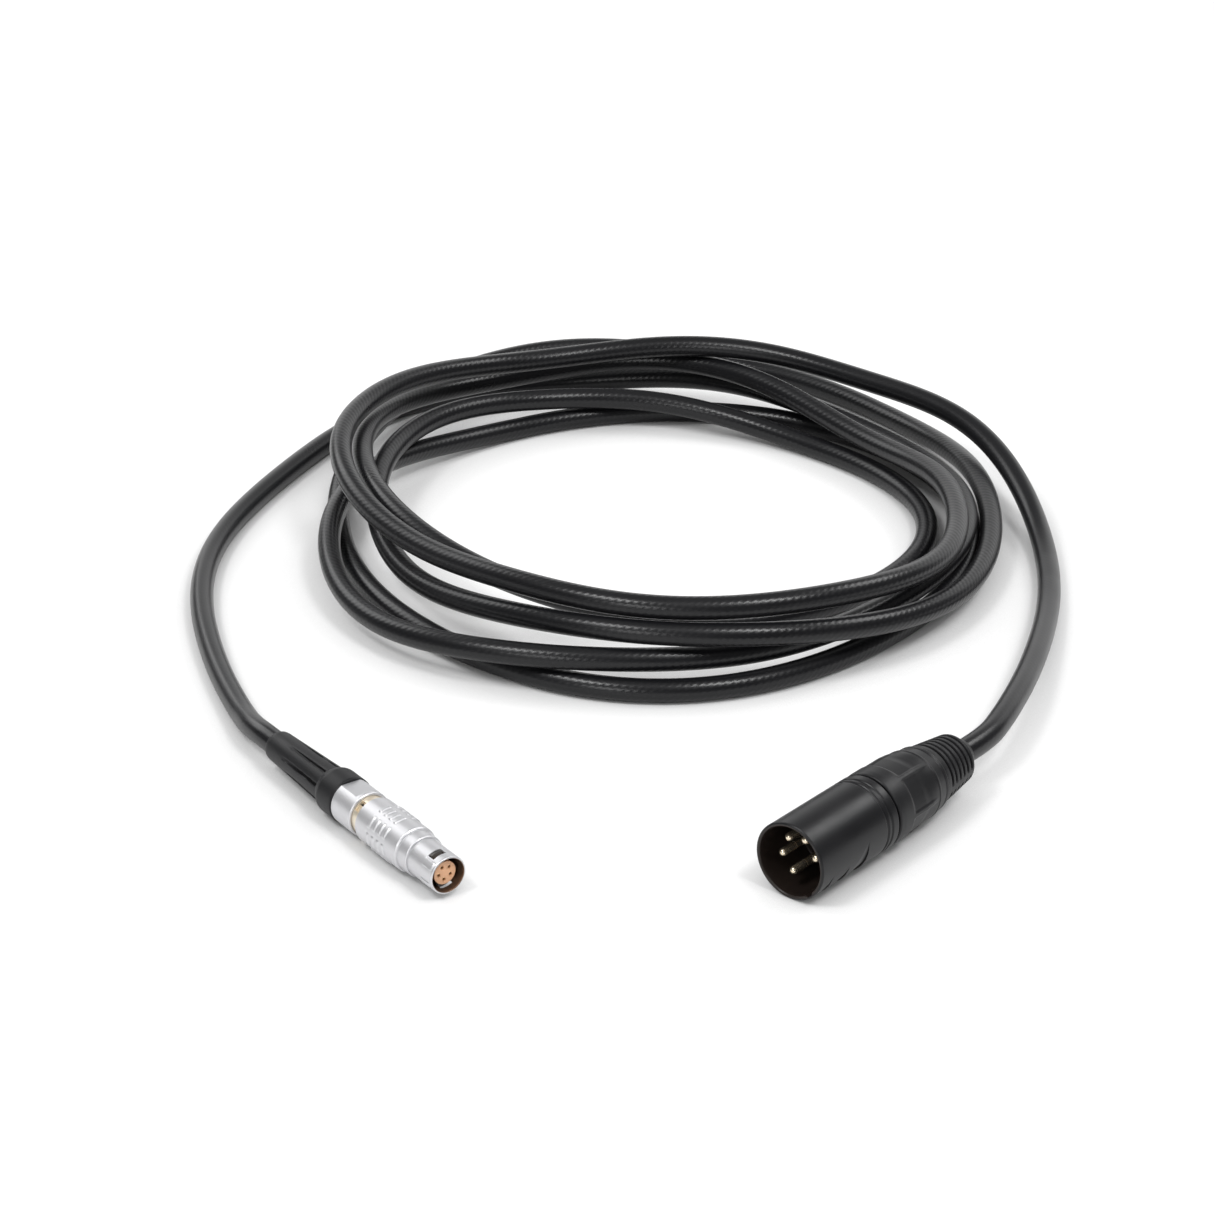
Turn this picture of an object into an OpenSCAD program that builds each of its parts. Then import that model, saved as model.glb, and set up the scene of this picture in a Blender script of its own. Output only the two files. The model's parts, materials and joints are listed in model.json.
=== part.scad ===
// Loose coil of screened cable with a five pole XLR plug at one end and a
// self-latching push-pull plug at the other.
// Millimetres. The cable and both plugs lie on the plane z = 0.
// The origin is on that plane, under the middle of the box round the two plugs.
// Both plugs are drawn along their own axis, mating face at 0, cable to the rear.

/* [Cable] */
// Outer diameter of the cable's jacket
cable_d = 6.2; // [6:0.1:6.3]
// Height from the middle of a cable to the middle of one that lies on it
layer_rise = 6.75; // [6.7:0.05:7.4]
// Front to rear stretch of the coil against its width
coil_oval = 1.08; // [1.04:0.01:1.12]

/* [XLR plug] */
// Outer diameter of the plug's shell
xlr_d = 19; // [18.6:0.1:20]
// Wall of the shell round the contact cavity
xlr_wall = 1.0; // [0.9:0.05:1.3]
// Length of the shell
xlr_shell_l = 29.2; // [28:0.1:32]
// Depth from the rim to the face of the insert
xlr_cavity_l = 16; // [15:0.1:17]
// Diameter of a contact pin
xlr_pin_d = 2.0; // [1.8:0.05:2.2]
// Radius of the circle that the pins stand on
xlr_pin_circle_r = 4.75; // [4.5:0.05:5]
// Distance of the pins' tips behind the rim
xlr_pin_recess = 3.0; // [2:0.1:4]
// Thickness of the insert that carries the pins
xlr_insert_l = 6; // [5:0.1:7]
// Length of the bushing's grip
xlr_bushing_l = 20.8; // [19:0.1:22]
// Gap that stays between shell and bushing when tightened
xlr_bushing_gap = 0.8; // [0.5:0.1:1.2]
// Length of the ribbed bend relief
xlr_relief_l = 16.7; // [15:0.1:19]
// Number of grooves round the bend relief
xlr_relief_grooves = 6; // [4:1:7]

/* [Push-pull plug] */
// Outer diameter of the sliding outer shell
pp_d = 11.4; // [11:0.1:12]
// Diameter of the nose
pp_nose_d = 9.3; // [9.1:0.05:9.5]
// Length of the nose in front of the first step
pp_nose_l = 10.1; // [9:0.1:11]
// Length of the step between nose and grip
pp_step_l = 3.6; // [3:0.1:4]
// Length of the grip
pp_grip_l = 17.7; // [17:0.1:19]
// Travel of the outer shell when it is pulled to unlatch
pp_travel = 1.2; // [0.8:0.1:1.3]
// Gap between outer shell and collet nut at rest
pp_gap = 2.5; // [2:0.1:3]
// Length of the collet nut
pp_nut_l = 8.1; // [7.5:0.1:9]
// Width across the collet nut's two flats
pp_nut_flats = 9.2; // [9.1:0.1:10]
// Diameter of the insulating insert
pp_insert_d = 5.7; // [5.4:0.05:5.8]
// Distance of the insert's face behind the rim of the nose
pp_insert_recess = 1.5; // [1.4:0.1:2]
// Length of the bend relief behind the collet nut
pp_relief_l = 34.3; // [32:0.1:37]
// Diameter of the collar of the bend relief
pp_collar_d = 11.8; // [11.6:0.1:12.2]

/* [Hidden] */
$fn = 64;

// Clearances that the fits share
slip = 0.05;          // radial, between parts that are pushed together by hand
running = 0.06;       // radial, between the sliding shell and what it slides on
tiny = 0.01;          // overshoot of a cut past the face that it opens
cable_r = cable_d / 2;
bore_r = cable_r + slip;

// Where the two plugs and the middle of the coil lie, seen from above
xlr_at = [61.84, -6.74];
pp_at = [3.48, -56.26];
pp_heading = 75.7;
coil_at = [-90.1, 128];
coil_turn = 40.6;

// XLR plug: stations along its axis, radii
xlr_r = xlr_d / 2;
xlr_bore_r = xlr_r - xlr_wall;
xlr_land = 0.6;                                   // lip that the insert seats against
xlr_land_r = xlr_bore_r - 0.5;
xlr_insert_end = xlr_cavity_l + xlr_insert_l;
xlr_bushing_z = xlr_shell_l + xlr_bushing_gap;
xlr_relief_z = xlr_bushing_z + xlr_bushing_l;
xlr_end = xlr_relief_z + xlr_relief_l;
xlr_cup_r = xlr_pin_d / 2 + 0.25;                 // solder cup behind the insert
xlr_cup_l = 4.5;
xlr_cup_end = xlr_insert_end + xlr_cup_l;
xlr_wire_r = 0.55;
xlr_pin_first = 11;                               // first pin, anticlockwise from the right
xlr_pin_step = 60;                                // sixth place stays free for the key
xlr_key_angle = xlr_pin_first - xlr_pin_step;
xlr_key_w = 2.2;
xlr_key_depth = 0.5;
xlr_shank_r = xlr_bore_r - slip;
xlr_shank_bore = xlr_shank_r - 0.7;
xlr_shank_z = xlr_cup_end - 1.5;
xlr_chuck_r = xlr_shank_bore - slip;
xlr_jaw_z = xlr_bushing_z + 6;                    // the chuck's jaws start to taper here
xlr_jaw_l = 8;
xlr_jaw_r = xlr_chuck_r - 1.3;
xlr_cable_z = xlr_bushing_z + 3;                  // end of the jacket inside the chuck
xlr_spigot_r = 6;                                 // moulded spigot of the relief in the bushing
xlr_spigot_l = 4.5;
xlr_relief_r = 8.1;
xlr_rib_r0 = 7.85;                                // ribs at the bushing and at the collar
xlr_rib_r1 = 6.25;
xlr_rib_z = 1.7;                                  // first groove, behind the bushing
xlr_collar_l = 3.6;
xlr_groove_depth = 0.9;
xlr_spring_w = 2.4;
xlr_spring_t = 0.3;
// Outer face of the flat spring: its corners stay clear of the round bore
xlr_spring_r = sqrt(pow(xlr_bore_r - slip, 2) - pow(xlr_spring_w / 2, 2));
// Thumb notches by the key: front end, rear end, depth at the rear, half of the arc in degrees
xlr_notches = [[1.8, 4.4, 0.35, 36], [6.6, 10.6, 0.4, 34], [12, 17.4, 0.45, 56]];
xlr_groove_d = 0.25;                              // two grooves round the shell's rear end
xlr_groove_ends = [4.6, 2.4];                     // where they start, in front of that end
// Outline of the bushing's grip: how far inside the shell's radius, how far behind its edge
xlr_bushing_steps = [[0.35, 0], [0.1, 0.3], [0, 2], [0, 10.5], [0.25, 13.2], [0.75, 16.2]];
xlr_bushing_lip = 1.1;                            // lip at the bend relief
xlr_flats = 6;
xlr_flat = [3, 5.8, 11.2];                        // cutter of a flat: height, width, length
xlr_flat_z = 5;
xlr_flat_sink = 0.28;                             // depth of a flat's front end
xlr_flat_tilt = 5.2;

// Push-pull plug: stations along its axis, radii
pp_r = pp_d / 2;
pp_nose_r = pp_nose_d / 2;
pp_nose_wall = 0.5;
pp_nose_bore = pp_nose_r - pp_nose_wall;
pp_grip_z = pp_nose_l + pp_step_l;
pp_shell_end = pp_grip_z + pp_grip_l;
pp_nut_z = pp_shell_end + pp_gap;
pp_relief_z = pp_nut_z + pp_nut_l;
pp_end = pp_relief_z + pp_relief_l;
pp_step_r = pp_nose_r + 0.5;
pp_sleeve_r = pp_nose_r + 0.25;                   // latch sleeve, runs inside the outer shell
pp_sleeve_wall = 0.7;
pp_sleeve_bore = pp_sleeve_r - pp_sleeve_wall;
pp_sleeve_z = pp_nose_l + 2.2;
pp_sleeve_end = pp_nut_z + 4.2;
pp_window_w = 3.5;                                // latch windows in the nose
pp_window_l = 2.3;
pp_window_z = 2.1;
pp_latch_angle = 101;                             // first latch, anticlockwise from the right
pp_tongue_w = 2.8;
pp_tongue_t = 0.55;
pp_tongue_r = pp_nose_bore - 0.3;
pp_hook_l = 0.8;
pp_hook_z = pp_window_z + pp_window_l - 0.15 - pp_hook_l;
pp_insert_r = pp_insert_d / 2;
pp_insert_end = pp_sleeve_z + 2;
pp_contact_circle = 1.65;
pp_contact_first = 44;
pp_contact_step = 72;
pp_contact_bore = 0.42;
pp_contact_r = 0.6;
pp_contact_z = pp_insert_recess + 0.4;
pp_cup_end = pp_insert_end + 3;
pp_half_end = pp_cup_end + 2;
pp_wire_r = 0.35;
pp_collet_z = pp_half_end + 4;
pp_collet_end = pp_sleeve_end + 1.2;
pp_cable_z = pp_collet_z + 1;
pp_spigot_l = 4;                                  // tail of the nut inside the relief
pp_spigot_r = 4.4;
pp_collar_l = 8.2;
pp_relief_r0 = 4.95;
pp_relief_r1 = 3.95;
pp_bars = 4;                                      // raised grip bars in a column
pp_columns = 8;
pp_bar_angle = 141.5;                             // first column, anticlockwise from the right
pp_bar_z = pp_grip_z + 5.2;
pp_bar_pitch = 2.1;
pp_bar = [0.2, 1.9, 0.8];                         // height, width, length of a bar
pp_keys = [[140, 1.9], [197, 1.2]];               // keys on the nose: clock angle, width
pp_key_h = 0.3;
pp_key_z = [0.5, 4.4];
pp_sunk = 0.3;                                    // how far bars and keys reach into the wall
pp_notch_angle = 128;                             // notch that shows in the gap of the shell
pp_notch_w = 2.8;
pp_slots = 8;                                     // long slots in the bend relief
pp_slot = [2, 0.7, 15];                           // cutter of a slot: height, width, length
pp_slot_z = 0.8;
pp_slot_sink = 0.75;
pp_slot_tilt = 1.4;

// Coil: reach of the cable from the middle in mm, one line for each turn, at eight
// directions from the right over the rear, left and front
coil_reach = [
    [97, 89, 84, 86, 87, 78, 89, 93],
    [82, 73, 90, 93, 80, 69, 62, 69],
    [78, 70, 71, 79, 77, 80, 92, 97],
    [95, 103, 118, 104, 88, 88, 97, 90],
    [90, 84, 76, 76, 87, 99, 92, 87],
    [88, 80, 94, 110, 99, 99, 99, 99]
];
directions = 8;
rings_per_turn = 24;
coil_first = 3;                                   // ring that the coil starts at
coil_last = 129;                                  // ring that it ends at, 5 1/4 turns on
floor_cut = cable_d / 10;                         // flat under the lowest turns
tucked_from = 105;                                // ring from which the last turn is tucked in
tucked_by = 27;                                   // it lies as low as a ring so many before it
crossing_flat = 0.75;                             // share of a layer's rise that a crossing is level for
crossing_end = 1.2;                               // share of it at which the cable is down again
crossing_spread = 6;                              // rings that a crossing lifts on either side
crossing_fall = 3;                                // fall from ring to ring past the first
own_rings = 10;                                   // rings along the cable that are no crossing

// Free stretches of the cable, from the plug to the coil
tail_xlr_route = [
    [61.2, 74, 9.5], [58.7, 83, 9.3], [53.8, 96, 8.6], [46, 114, 7], [37.5, 132, 5.2],
    [25, 155, 3.7], [11, 176, 3.1], [-1, 190, 3.9], [-12, 200.5, 7], [-24, 209, 11.4],
    [-37, 215.5, 15.4], [-50, 219.4, 18.2], [-62, 221, 19.4]
];
tail_pushpull_route = [
    [-83, -33.6, 5.2], [-91, -29.4, 4], [-101, -23.5, 3.3], [-117, -13.5, 3.1],
    [-132, -3, 3.1], [-149.5, 11, 3.1], [-164, 26.5, 3.1], [-175, 42, 3.1], [-183, 58, 3.1],
    [-190, 76, 3.1], [-196, 94, 3.1], [-200.7, 112, 3]
];

// ---- placing ----

// Child at a clock position on a plug's axis, read from the mating face,
// anticlockwise from the right
module at_clock(angle, r = 0) {
    rotate([0, 0, -angle]) translate([r, 0, 0]) children();
}

module on_xlr_axis() {
    translate([xlr_at[0], xlr_at[1], xlr_r]) rotate([-90, 0, 0]) children();
}

module on_pp_axis() {
    translate([pp_at[0], pp_at[1], pp_collar_d / 2]) rotate([0, 0, pp_heading])
        rotate([-90, 0, 0]) children();
}

// Tube between two stations
module ring(z0, z1, r_out, r_in) {
    translate([0, 0, z0]) difference() {
        cylinder(h = z1 - z0, r = r_out);
        translate([0, 0, -tiny]) cylinder(h = z1 - z0 + 2 * tiny, r = r_in);
    }
}

// Bar that runs along the axis, lying on a radius
module bar(z0, z1, r0, r1, w) {
    translate([r0, -w / 2, z0]) cube([r1 - r0, w, z1 - z0]);
}

// ---- XLR plug ----

// Crescent shaped thumb notch: an eccentric cone leaves a ramp that is deepest at the rear
module thumb_notch(z0, z1, depth, half_angle) {
    r = xlr_r;
    shift = (2 * r * depth - depth * depth) / (2 * r * (1 - cos(half_angle)) - 2 * depth);
    r_left = r + shift - depth;
    at_clock(xlr_key_angle) difference() {
        translate([0, 0, z0]) cylinder(h = z1 - z0, r = r + 1);
        translate([-shift, 0, z0 - tiny])
            cylinder(h = z1 - z0 + 2 * tiny, r1 = r_left + depth + 0.02, r2 = r_left);
    }
}

module xlr_shell() {
    color([0.11, 0.11, 0.12]) on_xlr_axis() difference() {
        rotate_extrude($fn = 96) polygon([
            [xlr_bore_r, 0.3], [xlr_bore_r + 0.25, 0], [xlr_r - 0.25, 0], [xlr_r, 0.3],
            for (back = xlr_groove_ends, p = [[0, 0], [xlr_groove_d, 0.2], [xlr_groove_d, 0.8], [0, 1]])
                [xlr_r - p[0], xlr_shell_l - back + p[1]],
            [xlr_r, xlr_shell_l - 0.2], [xlr_r - 0.2, xlr_shell_l],
            [xlr_bore_r, xlr_shell_l], [xlr_bore_r, xlr_cavity_l],
            [xlr_land_r, xlr_cavity_l], [xlr_land_r, xlr_cavity_l - xlr_land],
            [xlr_bore_r, xlr_cavity_l - xlr_land]
        ]);
        at_clock(xlr_key_angle)
            bar(-tiny, xlr_cavity_l - xlr_land, xlr_bore_r - 0.4, xlr_bore_r + xlr_key_depth, xlr_key_w);
        for (n = xlr_notches) {
            thumb_notch(n[0], n[1], n[2], n[3]);
        }
    }
}

module xlr_insert() {
    r = xlr_bore_r - slip;
    color([0.06, 0.06, 0.07]) on_xlr_axis() difference() {
        union() {
            translate([0, 0, xlr_cavity_l]) cylinder(h = xlr_insert_l, r = r);
            translate([0, 0, xlr_cavity_l - xlr_land])
                cylinder(h = xlr_land + tiny, r = xlr_land_r - slip);
        }
        for (i = [0 : 4]) {
            at_clock(xlr_pin_first + xlr_pin_step * i, xlr_pin_circle_r)
                translate([0, 0, xlr_cavity_l - xlr_land - tiny])
                    cylinder(h = xlr_insert_l + xlr_land + 2 * tiny, r = xlr_pin_d / 2 + slip);
        }
        at_clock(xlr_key_angle + 180)
            bar(xlr_cavity_l - tiny, xlr_insert_end + tiny, xlr_spring_r - xlr_spring_t - slip, r + 1,
                xlr_spring_w + 2 * slip);
    }
}

// Contact pin with a rounded tip and a solder cup
module xlr_pin(i) {
    r = xlr_pin_d / 2;
    color([0.83, 0.66, 0.36]) on_xlr_axis() at_clock(xlr_pin_first + xlr_pin_step * i, xlr_pin_circle_r)
        rotate_extrude($fn = 32) polygon(concat(
            [for (a = [0 : 15 : 90]) [r * sin(a), xlr_pin_recess + r * (1 - cos(a))]],
            [[r, xlr_insert_end], [xlr_cup_r, xlr_insert_end], [xlr_cup_r, xlr_cup_end],
             [xlr_wire_r + 0.15, xlr_cup_end], [xlr_wire_r + 0.15, xlr_insert_end + 1],
             [0, xlr_insert_end + 1]]
        ));
}

module xlr_pin_1() { xlr_pin(0); }
module xlr_pin_2() { xlr_pin(1); }
module xlr_pin_3() { xlr_pin(2); }
module xlr_pin_4() { xlr_pin(3); }
module xlr_pin_5() { xlr_pin(4); }

// Strip that ties the shell to the cable's screen
module xlr_ground_spring() {
    foot = 1.8;
    color([0.78, 0.78, 0.76]) on_xlr_axis() at_clock(xlr_key_angle + 180) {
        bar(xlr_cavity_l, xlr_insert_end, xlr_spring_r - xlr_spring_t, xlr_spring_r, xlr_spring_w);
        bar(xlr_insert_end, xlr_insert_end + 0.4, xlr_spring_r - foot, xlr_spring_r, xlr_spring_w);
    }
}

// Split clamp: a ring at the insert and four jaws that the bushing closes on the jacket
module xlr_chuck() {
    jaw_end = xlr_jaw_z + xlr_jaw_l;
    color([0.9, 0.9, 0.88]) on_xlr_axis() difference() {
        rotate_extrude() polygon([
            [xlr_chuck_r - 1, xlr_insert_end + 0.4], [xlr_chuck_r, xlr_insert_end + 0.4],
            [xlr_chuck_r, xlr_jaw_z], [xlr_jaw_r, jaw_end], [cable_r + 0.02, jaw_end],
            [cable_r + 0.02, xlr_cable_z], [xlr_chuck_r - 1, xlr_cable_z - 1]
        ]);
        for (a = [0, 90]) {
            rotate([0, 0, a]) translate([-xlr_r, -0.6, xlr_cable_z + 0.5])
                cube([2 * xlr_r, 1.2, xlr_jaw_l + xlr_jaw_z]);
        }
        at_clock(xlr_key_angle + 180)
            bar(xlr_insert_end, xlr_insert_end + 1, xlr_chuck_r - 1.5, xlr_r, xlr_spring_w + 0.4);
    }
}

// Grip of the bushing, six shallow flats that open towards the rear
module xlr_bushing() {
    jaw_end = xlr_jaw_z + xlr_jaw_l;
    spigot_z = xlr_relief_z - xlr_spigot_l - 0.2;
    color([0.09, 0.09, 0.1]) on_xlr_axis() difference() {
        rotate_extrude($fn = 96) polygon([
            [xlr_shank_bore, xlr_shank_z], [xlr_shank_r, xlr_shank_z],
            [xlr_shank_r, xlr_bushing_z], for (p = xlr_bushing_steps) [xlr_r - p[0], xlr_bushing_z + p[1]],
            [xlr_relief_r + 0.15, xlr_relief_z - xlr_bushing_lip],
            [xlr_relief_r + 0.15, xlr_relief_z - 0.2], [xlr_relief_r, xlr_relief_z],
            [xlr_spigot_r + slip, xlr_relief_z], [xlr_spigot_r + slip, spigot_z],
            [xlr_jaw_r - 0.6, spigot_z], [xlr_jaw_r + slip, jaw_end - 0.2],
            [xlr_shank_bore, xlr_jaw_z - 0.2]
        ]);
        for (i = [0 : xlr_flats - 1]) {
            rotate([0, 0, 30 + i * 360 / xlr_flats])
                translate([xlr_r - xlr_flat_sink, -xlr_flat[1] / 2, xlr_bushing_z + xlr_flat_z])
                    rotate([0, -xlr_flat_tilt, 0]) cube(xlr_flat);
        }
    }
}

// Rubber bend relief: a smooth band, grooves that leave ribs, and a chamfered collar
module xlr_bend_relief() {
    rib_zone = xlr_relief_l - xlr_collar_l - xlr_rib_z;
    pitch = rib_zone / xlr_relief_grooves;
    function rib_r(z) = xlr_rib_r0 + (xlr_rib_r1 - xlr_rib_r0) * (z - xlr_rib_z) / rib_zone;
    color([0.07, 0.07, 0.08]) on_xlr_axis() translate([0, 0, xlr_relief_z]) rotate_extrude($fn = 96)
        polygon(concat(
            [[bore_r, -xlr_spigot_l], [xlr_spigot_r, -xlr_spigot_l], [xlr_spigot_r, 0],
             [xlr_relief_r, 0], [xlr_rib_r0 + 0.1, 0.9]],
            [for (i = [0 : xlr_relief_grooves - 1], k = [0 : 3])
                let (z = xlr_rib_z + pitch * (i + [0, 0.1, 0.42, 0.52][k]))
                [rib_r(z) - (k == 1 || k == 2 ? xlr_groove_depth : 0), z]],
            [[xlr_rib_r1, xlr_relief_l - xlr_collar_l - 0.2], [xlr_rib_r1 - 0.8, xlr_relief_l - xlr_collar_l + 0.5],
             [xlr_rib_r1 - 1.5, xlr_relief_l - 1.5], [xlr_rib_r1 - 2.2, xlr_relief_l - 0.5],
             [xlr_rib_r1 - 2.6, xlr_relief_l], [bore_r, xlr_relief_l]]
        ));
}

// Five insulated conductors that fan out from the end of the jacket to the solder cups
module xlr_conductors() {
    start_r = 1.7;
    color([0.75, 0.3, 0.2]) on_xlr_axis() for (i = [0 : 4]) {
        at_clock(xlr_pin_first + xlr_pin_step * i) tube([
            [start_r, 0, xlr_cable_z], [start_r, 0, xlr_cable_z - 0.8],
            [xlr_pin_circle_r, 0, xlr_cup_end + 0.6], [xlr_pin_circle_r, 0, xlr_insert_end + 1.4]
        ], 8, xlr_wire_r, [0, 1, 0]);
    }
}

module xlr_cable_end() {
    color([0.12, 0.12, 0.13]) on_xlr_axis()
        translate([0, 0, xlr_cable_z]) cylinder(h = xlr_end - xlr_cable_z, r = cable_r);
}

// ---- push-pull plug ----

// Outer shell in one piece with the nose: it slides to the rear and so draws the latches in
module pushpull_outer_shell() {
    cavity_r = pp_sleeve_r + running;
    color([0.74, 0.74, 0.75]) on_pp_axis() difference() {
        union() {
            rotate_extrude($fn = 96) polygon([
                [pp_nose_bore, 0.25], [pp_nose_bore + 0.2, 0], [pp_nose_r - 0.2, 0], [pp_nose_r, 0.3],
                [pp_nose_r, pp_nose_l], [pp_step_r - 0.15, pp_nose_l], [pp_step_r, pp_nose_l + 0.2],
                [pp_step_r, pp_grip_z], [pp_r - 0.2, pp_grip_z], [pp_r, pp_grip_z + 0.25],
                [pp_r, pp_shell_end - 0.3], [pp_r - 0.25, pp_shell_end], [cavity_r, pp_shell_end],
                [cavity_r, pp_sleeve_z - pp_travel - 0.9], [pp_nose_bore, pp_sleeve_z - pp_travel - 0.9]
            ]);
            for (c = [0 : pp_columns - 1], z = [for (b = [0 : pp_bars - 1]) pp_bar_z + b * pp_bar_pitch]) {
                at_clock(pp_bar_angle + c * 360 / pp_columns)
                    bar(z, z + pp_bar[2], pp_r - pp_sunk, pp_r + pp_bar[0], pp_bar[1]);
            }
            for (k = pp_keys) {
                at_clock(k[0]) bar(pp_key_z[0], pp_key_z[1], pp_nose_r - pp_sunk, pp_nose_r + pp_key_h, k[1]);
            }
        }
        for (s = [0, 180]) {
            at_clock(pp_latch_angle + s)
                bar(pp_window_z, pp_window_z + pp_window_l, pp_nose_bore - 1, pp_nose_r + 1, pp_window_w);
        }
    }
}

// Fixed sleeve with the two spring tongues whose hooks stand in the nose's windows
module pushpull_latch_sleeve() {
    color([0.8, 0.72, 0.52]) on_pp_axis() union() {
        difference() {
            ring(pp_sleeve_z, pp_sleeve_end, pp_sleeve_r, pp_sleeve_bore);
            at_clock(pp_notch_angle)
                bar(pp_shell_end + 0.3, pp_nut_z - 0.3, pp_sleeve_bore - 1, pp_sleeve_r + 1, pp_notch_w);
        }
        for (s = [0, 180]) {
            at_clock(pp_latch_angle + s) {
                intersection() {
                    ring(pp_hook_z, pp_sleeve_z + tiny, pp_tongue_r, pp_tongue_r - pp_tongue_t);
                    bar(0, pp_sleeve_z + 1, 0, pp_r, pp_tongue_w);
                }
                intersection() {
                    ring(pp_hook_z, pp_hook_z + pp_hook_l, pp_nose_r - 0.05, pp_tongue_r - pp_tongue_t);
                    bar(0, pp_sleeve_z, 0, pp_r, pp_tongue_w);
                }
                intersection() {
                    ring(pp_sleeve_z, pp_sleeve_z + 1, pp_sleeve_bore + tiny, pp_tongue_r - pp_tongue_t);
                    bar(0, pp_sleeve_z + 2, 0, pp_r, pp_tongue_w);
                }
            }
        }
    }
}

module pushpull_insert() {
    color([0.72, 0.42, 0.2]) on_pp_axis() difference() {
        translate([0, 0, pp_insert_recess]) cylinder(h = pp_insert_end - pp_insert_recess, r = pp_insert_r);
        for (i = [0 : 4]) {
            at_clock(pp_contact_first + pp_contact_step * i, pp_contact_circle) {
                translate([0, 0, pp_insert_recess - tiny])
                    cylinder(h = pp_insert_end, r = pp_contact_bore, $fn = 24);
                translate([0, 0, pp_contact_z - slip])
                    cylinder(h = pp_insert_end, r = pp_contact_r + slip, $fn = 24);
            }
        }
    }
}

// Female contact: socket bore to the front, solder cup to the rear
module pushpull_contact(i) {
    color([0.85, 0.68, 0.35]) on_pp_axis()
        at_clock(pp_contact_first + pp_contact_step * i, pp_contact_circle)
            rotate_extrude($fn = 24) polygon([
                [pp_contact_bore, pp_contact_z], [pp_contact_r, pp_contact_z],
                [pp_contact_r, pp_cup_end], [pp_contact_bore, pp_cup_end],
                [pp_contact_bore, pp_cup_end - 2.4], [0, pp_cup_end - 2.4],
                [0, pp_contact_z + 6], [pp_contact_bore, pp_contact_z + 6]
            ]);
}

module pushpull_contact_1() { pushpull_contact(0); }
module pushpull_contact_2() { pushpull_contact(1); }
module pushpull_contact_3() { pushpull_contact(2); }
module pushpull_contact_4() { pushpull_contact(3); }
module pushpull_contact_5() { pushpull_contact(4); }

// Half of the split bush that carries the insert inside the latch sleeve
module half_shell(side) {
    color([0.76, 0.74, 0.7]) on_pp_axis() intersection() {
        difference() {
            ring(pp_sleeve_z + 1 + slip, pp_half_end, pp_sleeve_bore - slip, pp_insert_r + slip);
            for (s = [0, 180]) {
                at_clock(pp_latch_angle + s)
                    bar(pp_sleeve_z, pp_sleeve_z + 1 + 2 * slip, pp_insert_r, pp_r, pp_tongue_w + 0.2);
            }
        }
        at_clock(pp_latch_angle) translate([side > 0 ? 0.03 : -pp_r - 0.03, -pp_r, 0])
            cube([pp_r, 2 * pp_r, pp_end]);
    }
}

module pushpull_half_shell_1() { half_shell(1); }
module pushpull_half_shell_2() { half_shell(-1); }

// Slotted clamp that the collet nut closes on the jacket
module pushpull_collet() {
    color([0.8, 0.72, 0.52]) on_pp_axis() difference() {
        rotate_extrude() polygon([
            [cable_r + 0.02, pp_collet_z], [pp_sleeve_bore - slip, pp_collet_z],
            [pp_sleeve_bore - slip, pp_collet_end - 1.6], [cable_r + 0.5, pp_collet_end],
            [cable_r + 0.02, pp_collet_end]
        ]);
        for (a = [0, 60, 120]) {
            rotate([0, 0, a]) translate([-pp_r, -0.25, pp_collet_z + 3])
                cube([2 * pp_r, 0.5, pp_end]);
        }
    }
}

// Collet nut with two flats for the spanner and a tail for the bend relief
module pushpull_collet_nut() {
    color([0.74, 0.74, 0.75]) on_pp_axis() difference() {
        rotate_extrude($fn = 96) polygon([
            [pp_sleeve_r + slip, pp_nut_z], [pp_r - 0.3, pp_nut_z], [pp_r - 0.05, pp_nut_z + 0.25],
            [pp_r - 0.05, pp_relief_z], [pp_spigot_r, pp_relief_z], [pp_spigot_r, pp_relief_z + pp_spigot_l],
            [bore_r + 0.2, pp_relief_z + pp_spigot_l], [bore_r + 0.2, pp_collet_end + 0.5],
            [pp_sleeve_r + slip, pp_collet_end - 1]
        ]);
        for (s = [-1, 1]) {
            translate([-pp_r, s > 0 ? pp_nut_flats / 2 : -pp_nut_flats / 2 - 2, pp_nut_z + 1.4])
                cube([2 * pp_r, 2, pp_nut_l - 1.4]);
        }
    }
}

// Rubber bend relief: a flared collar and a tapering sleeve with long slots
module pushpull_bend_relief() {
    collar_r = pp_collar_d / 2;
    color([0.07, 0.07, 0.08]) on_pp_axis() difference() {
        translate([0, 0, pp_relief_z]) rotate_extrude($fn = 96) polygon([
            [pp_spigot_r + slip, 0], [collar_r - 0.2, 0], [collar_r, 0.4], [collar_r, pp_collar_l - 2],
            [collar_r - 0.15, pp_collar_l - 1.2], [collar_r - 0.55, pp_collar_l - 0.4],
            [pp_relief_r0, pp_collar_l], [pp_relief_r1, pp_relief_l - 1.1],
            [pp_relief_r1 - 0.15, pp_relief_l - 0.4], [pp_relief_r1 - 0.45, pp_relief_l],
            [bore_r, pp_relief_l], [bore_r, pp_spigot_l + 0.3], [pp_spigot_r + slip, pp_spigot_l + 0.3]
        ]);
        for (i = [0 : pp_slots - 1]) {
            rotate([0, 0, (i + 0.5) * 360 / pp_slots])
                translate([pp_relief_r0 - pp_slot_sink, -pp_slot[1] / 2, pp_relief_z + pp_collar_l + pp_slot_z])
                    rotate([0, -pp_slot_tilt, 0]) cube(pp_slot);
        }
    }
}

module pushpull_conductors() {
    color([0.75, 0.3, 0.2]) on_pp_axis() for (i = [0 : 4]) {
        at_clock(pp_contact_first + pp_contact_step * i, pp_contact_circle)
            translate([0, 0, pp_cup_end - 2]) cylinder(h = pp_cable_z - pp_cup_end + 2, r = pp_wire_r);
    }
}

module pushpull_cable_end() {
    color([0.12, 0.12, 0.13]) on_pp_axis()
        translate([0, 0, pp_cable_z]) cylinder(h = pp_end - pp_cable_z, r = cable_r);
}

// ---- cable ----

function unit(v) = v / norm(v);

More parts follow.
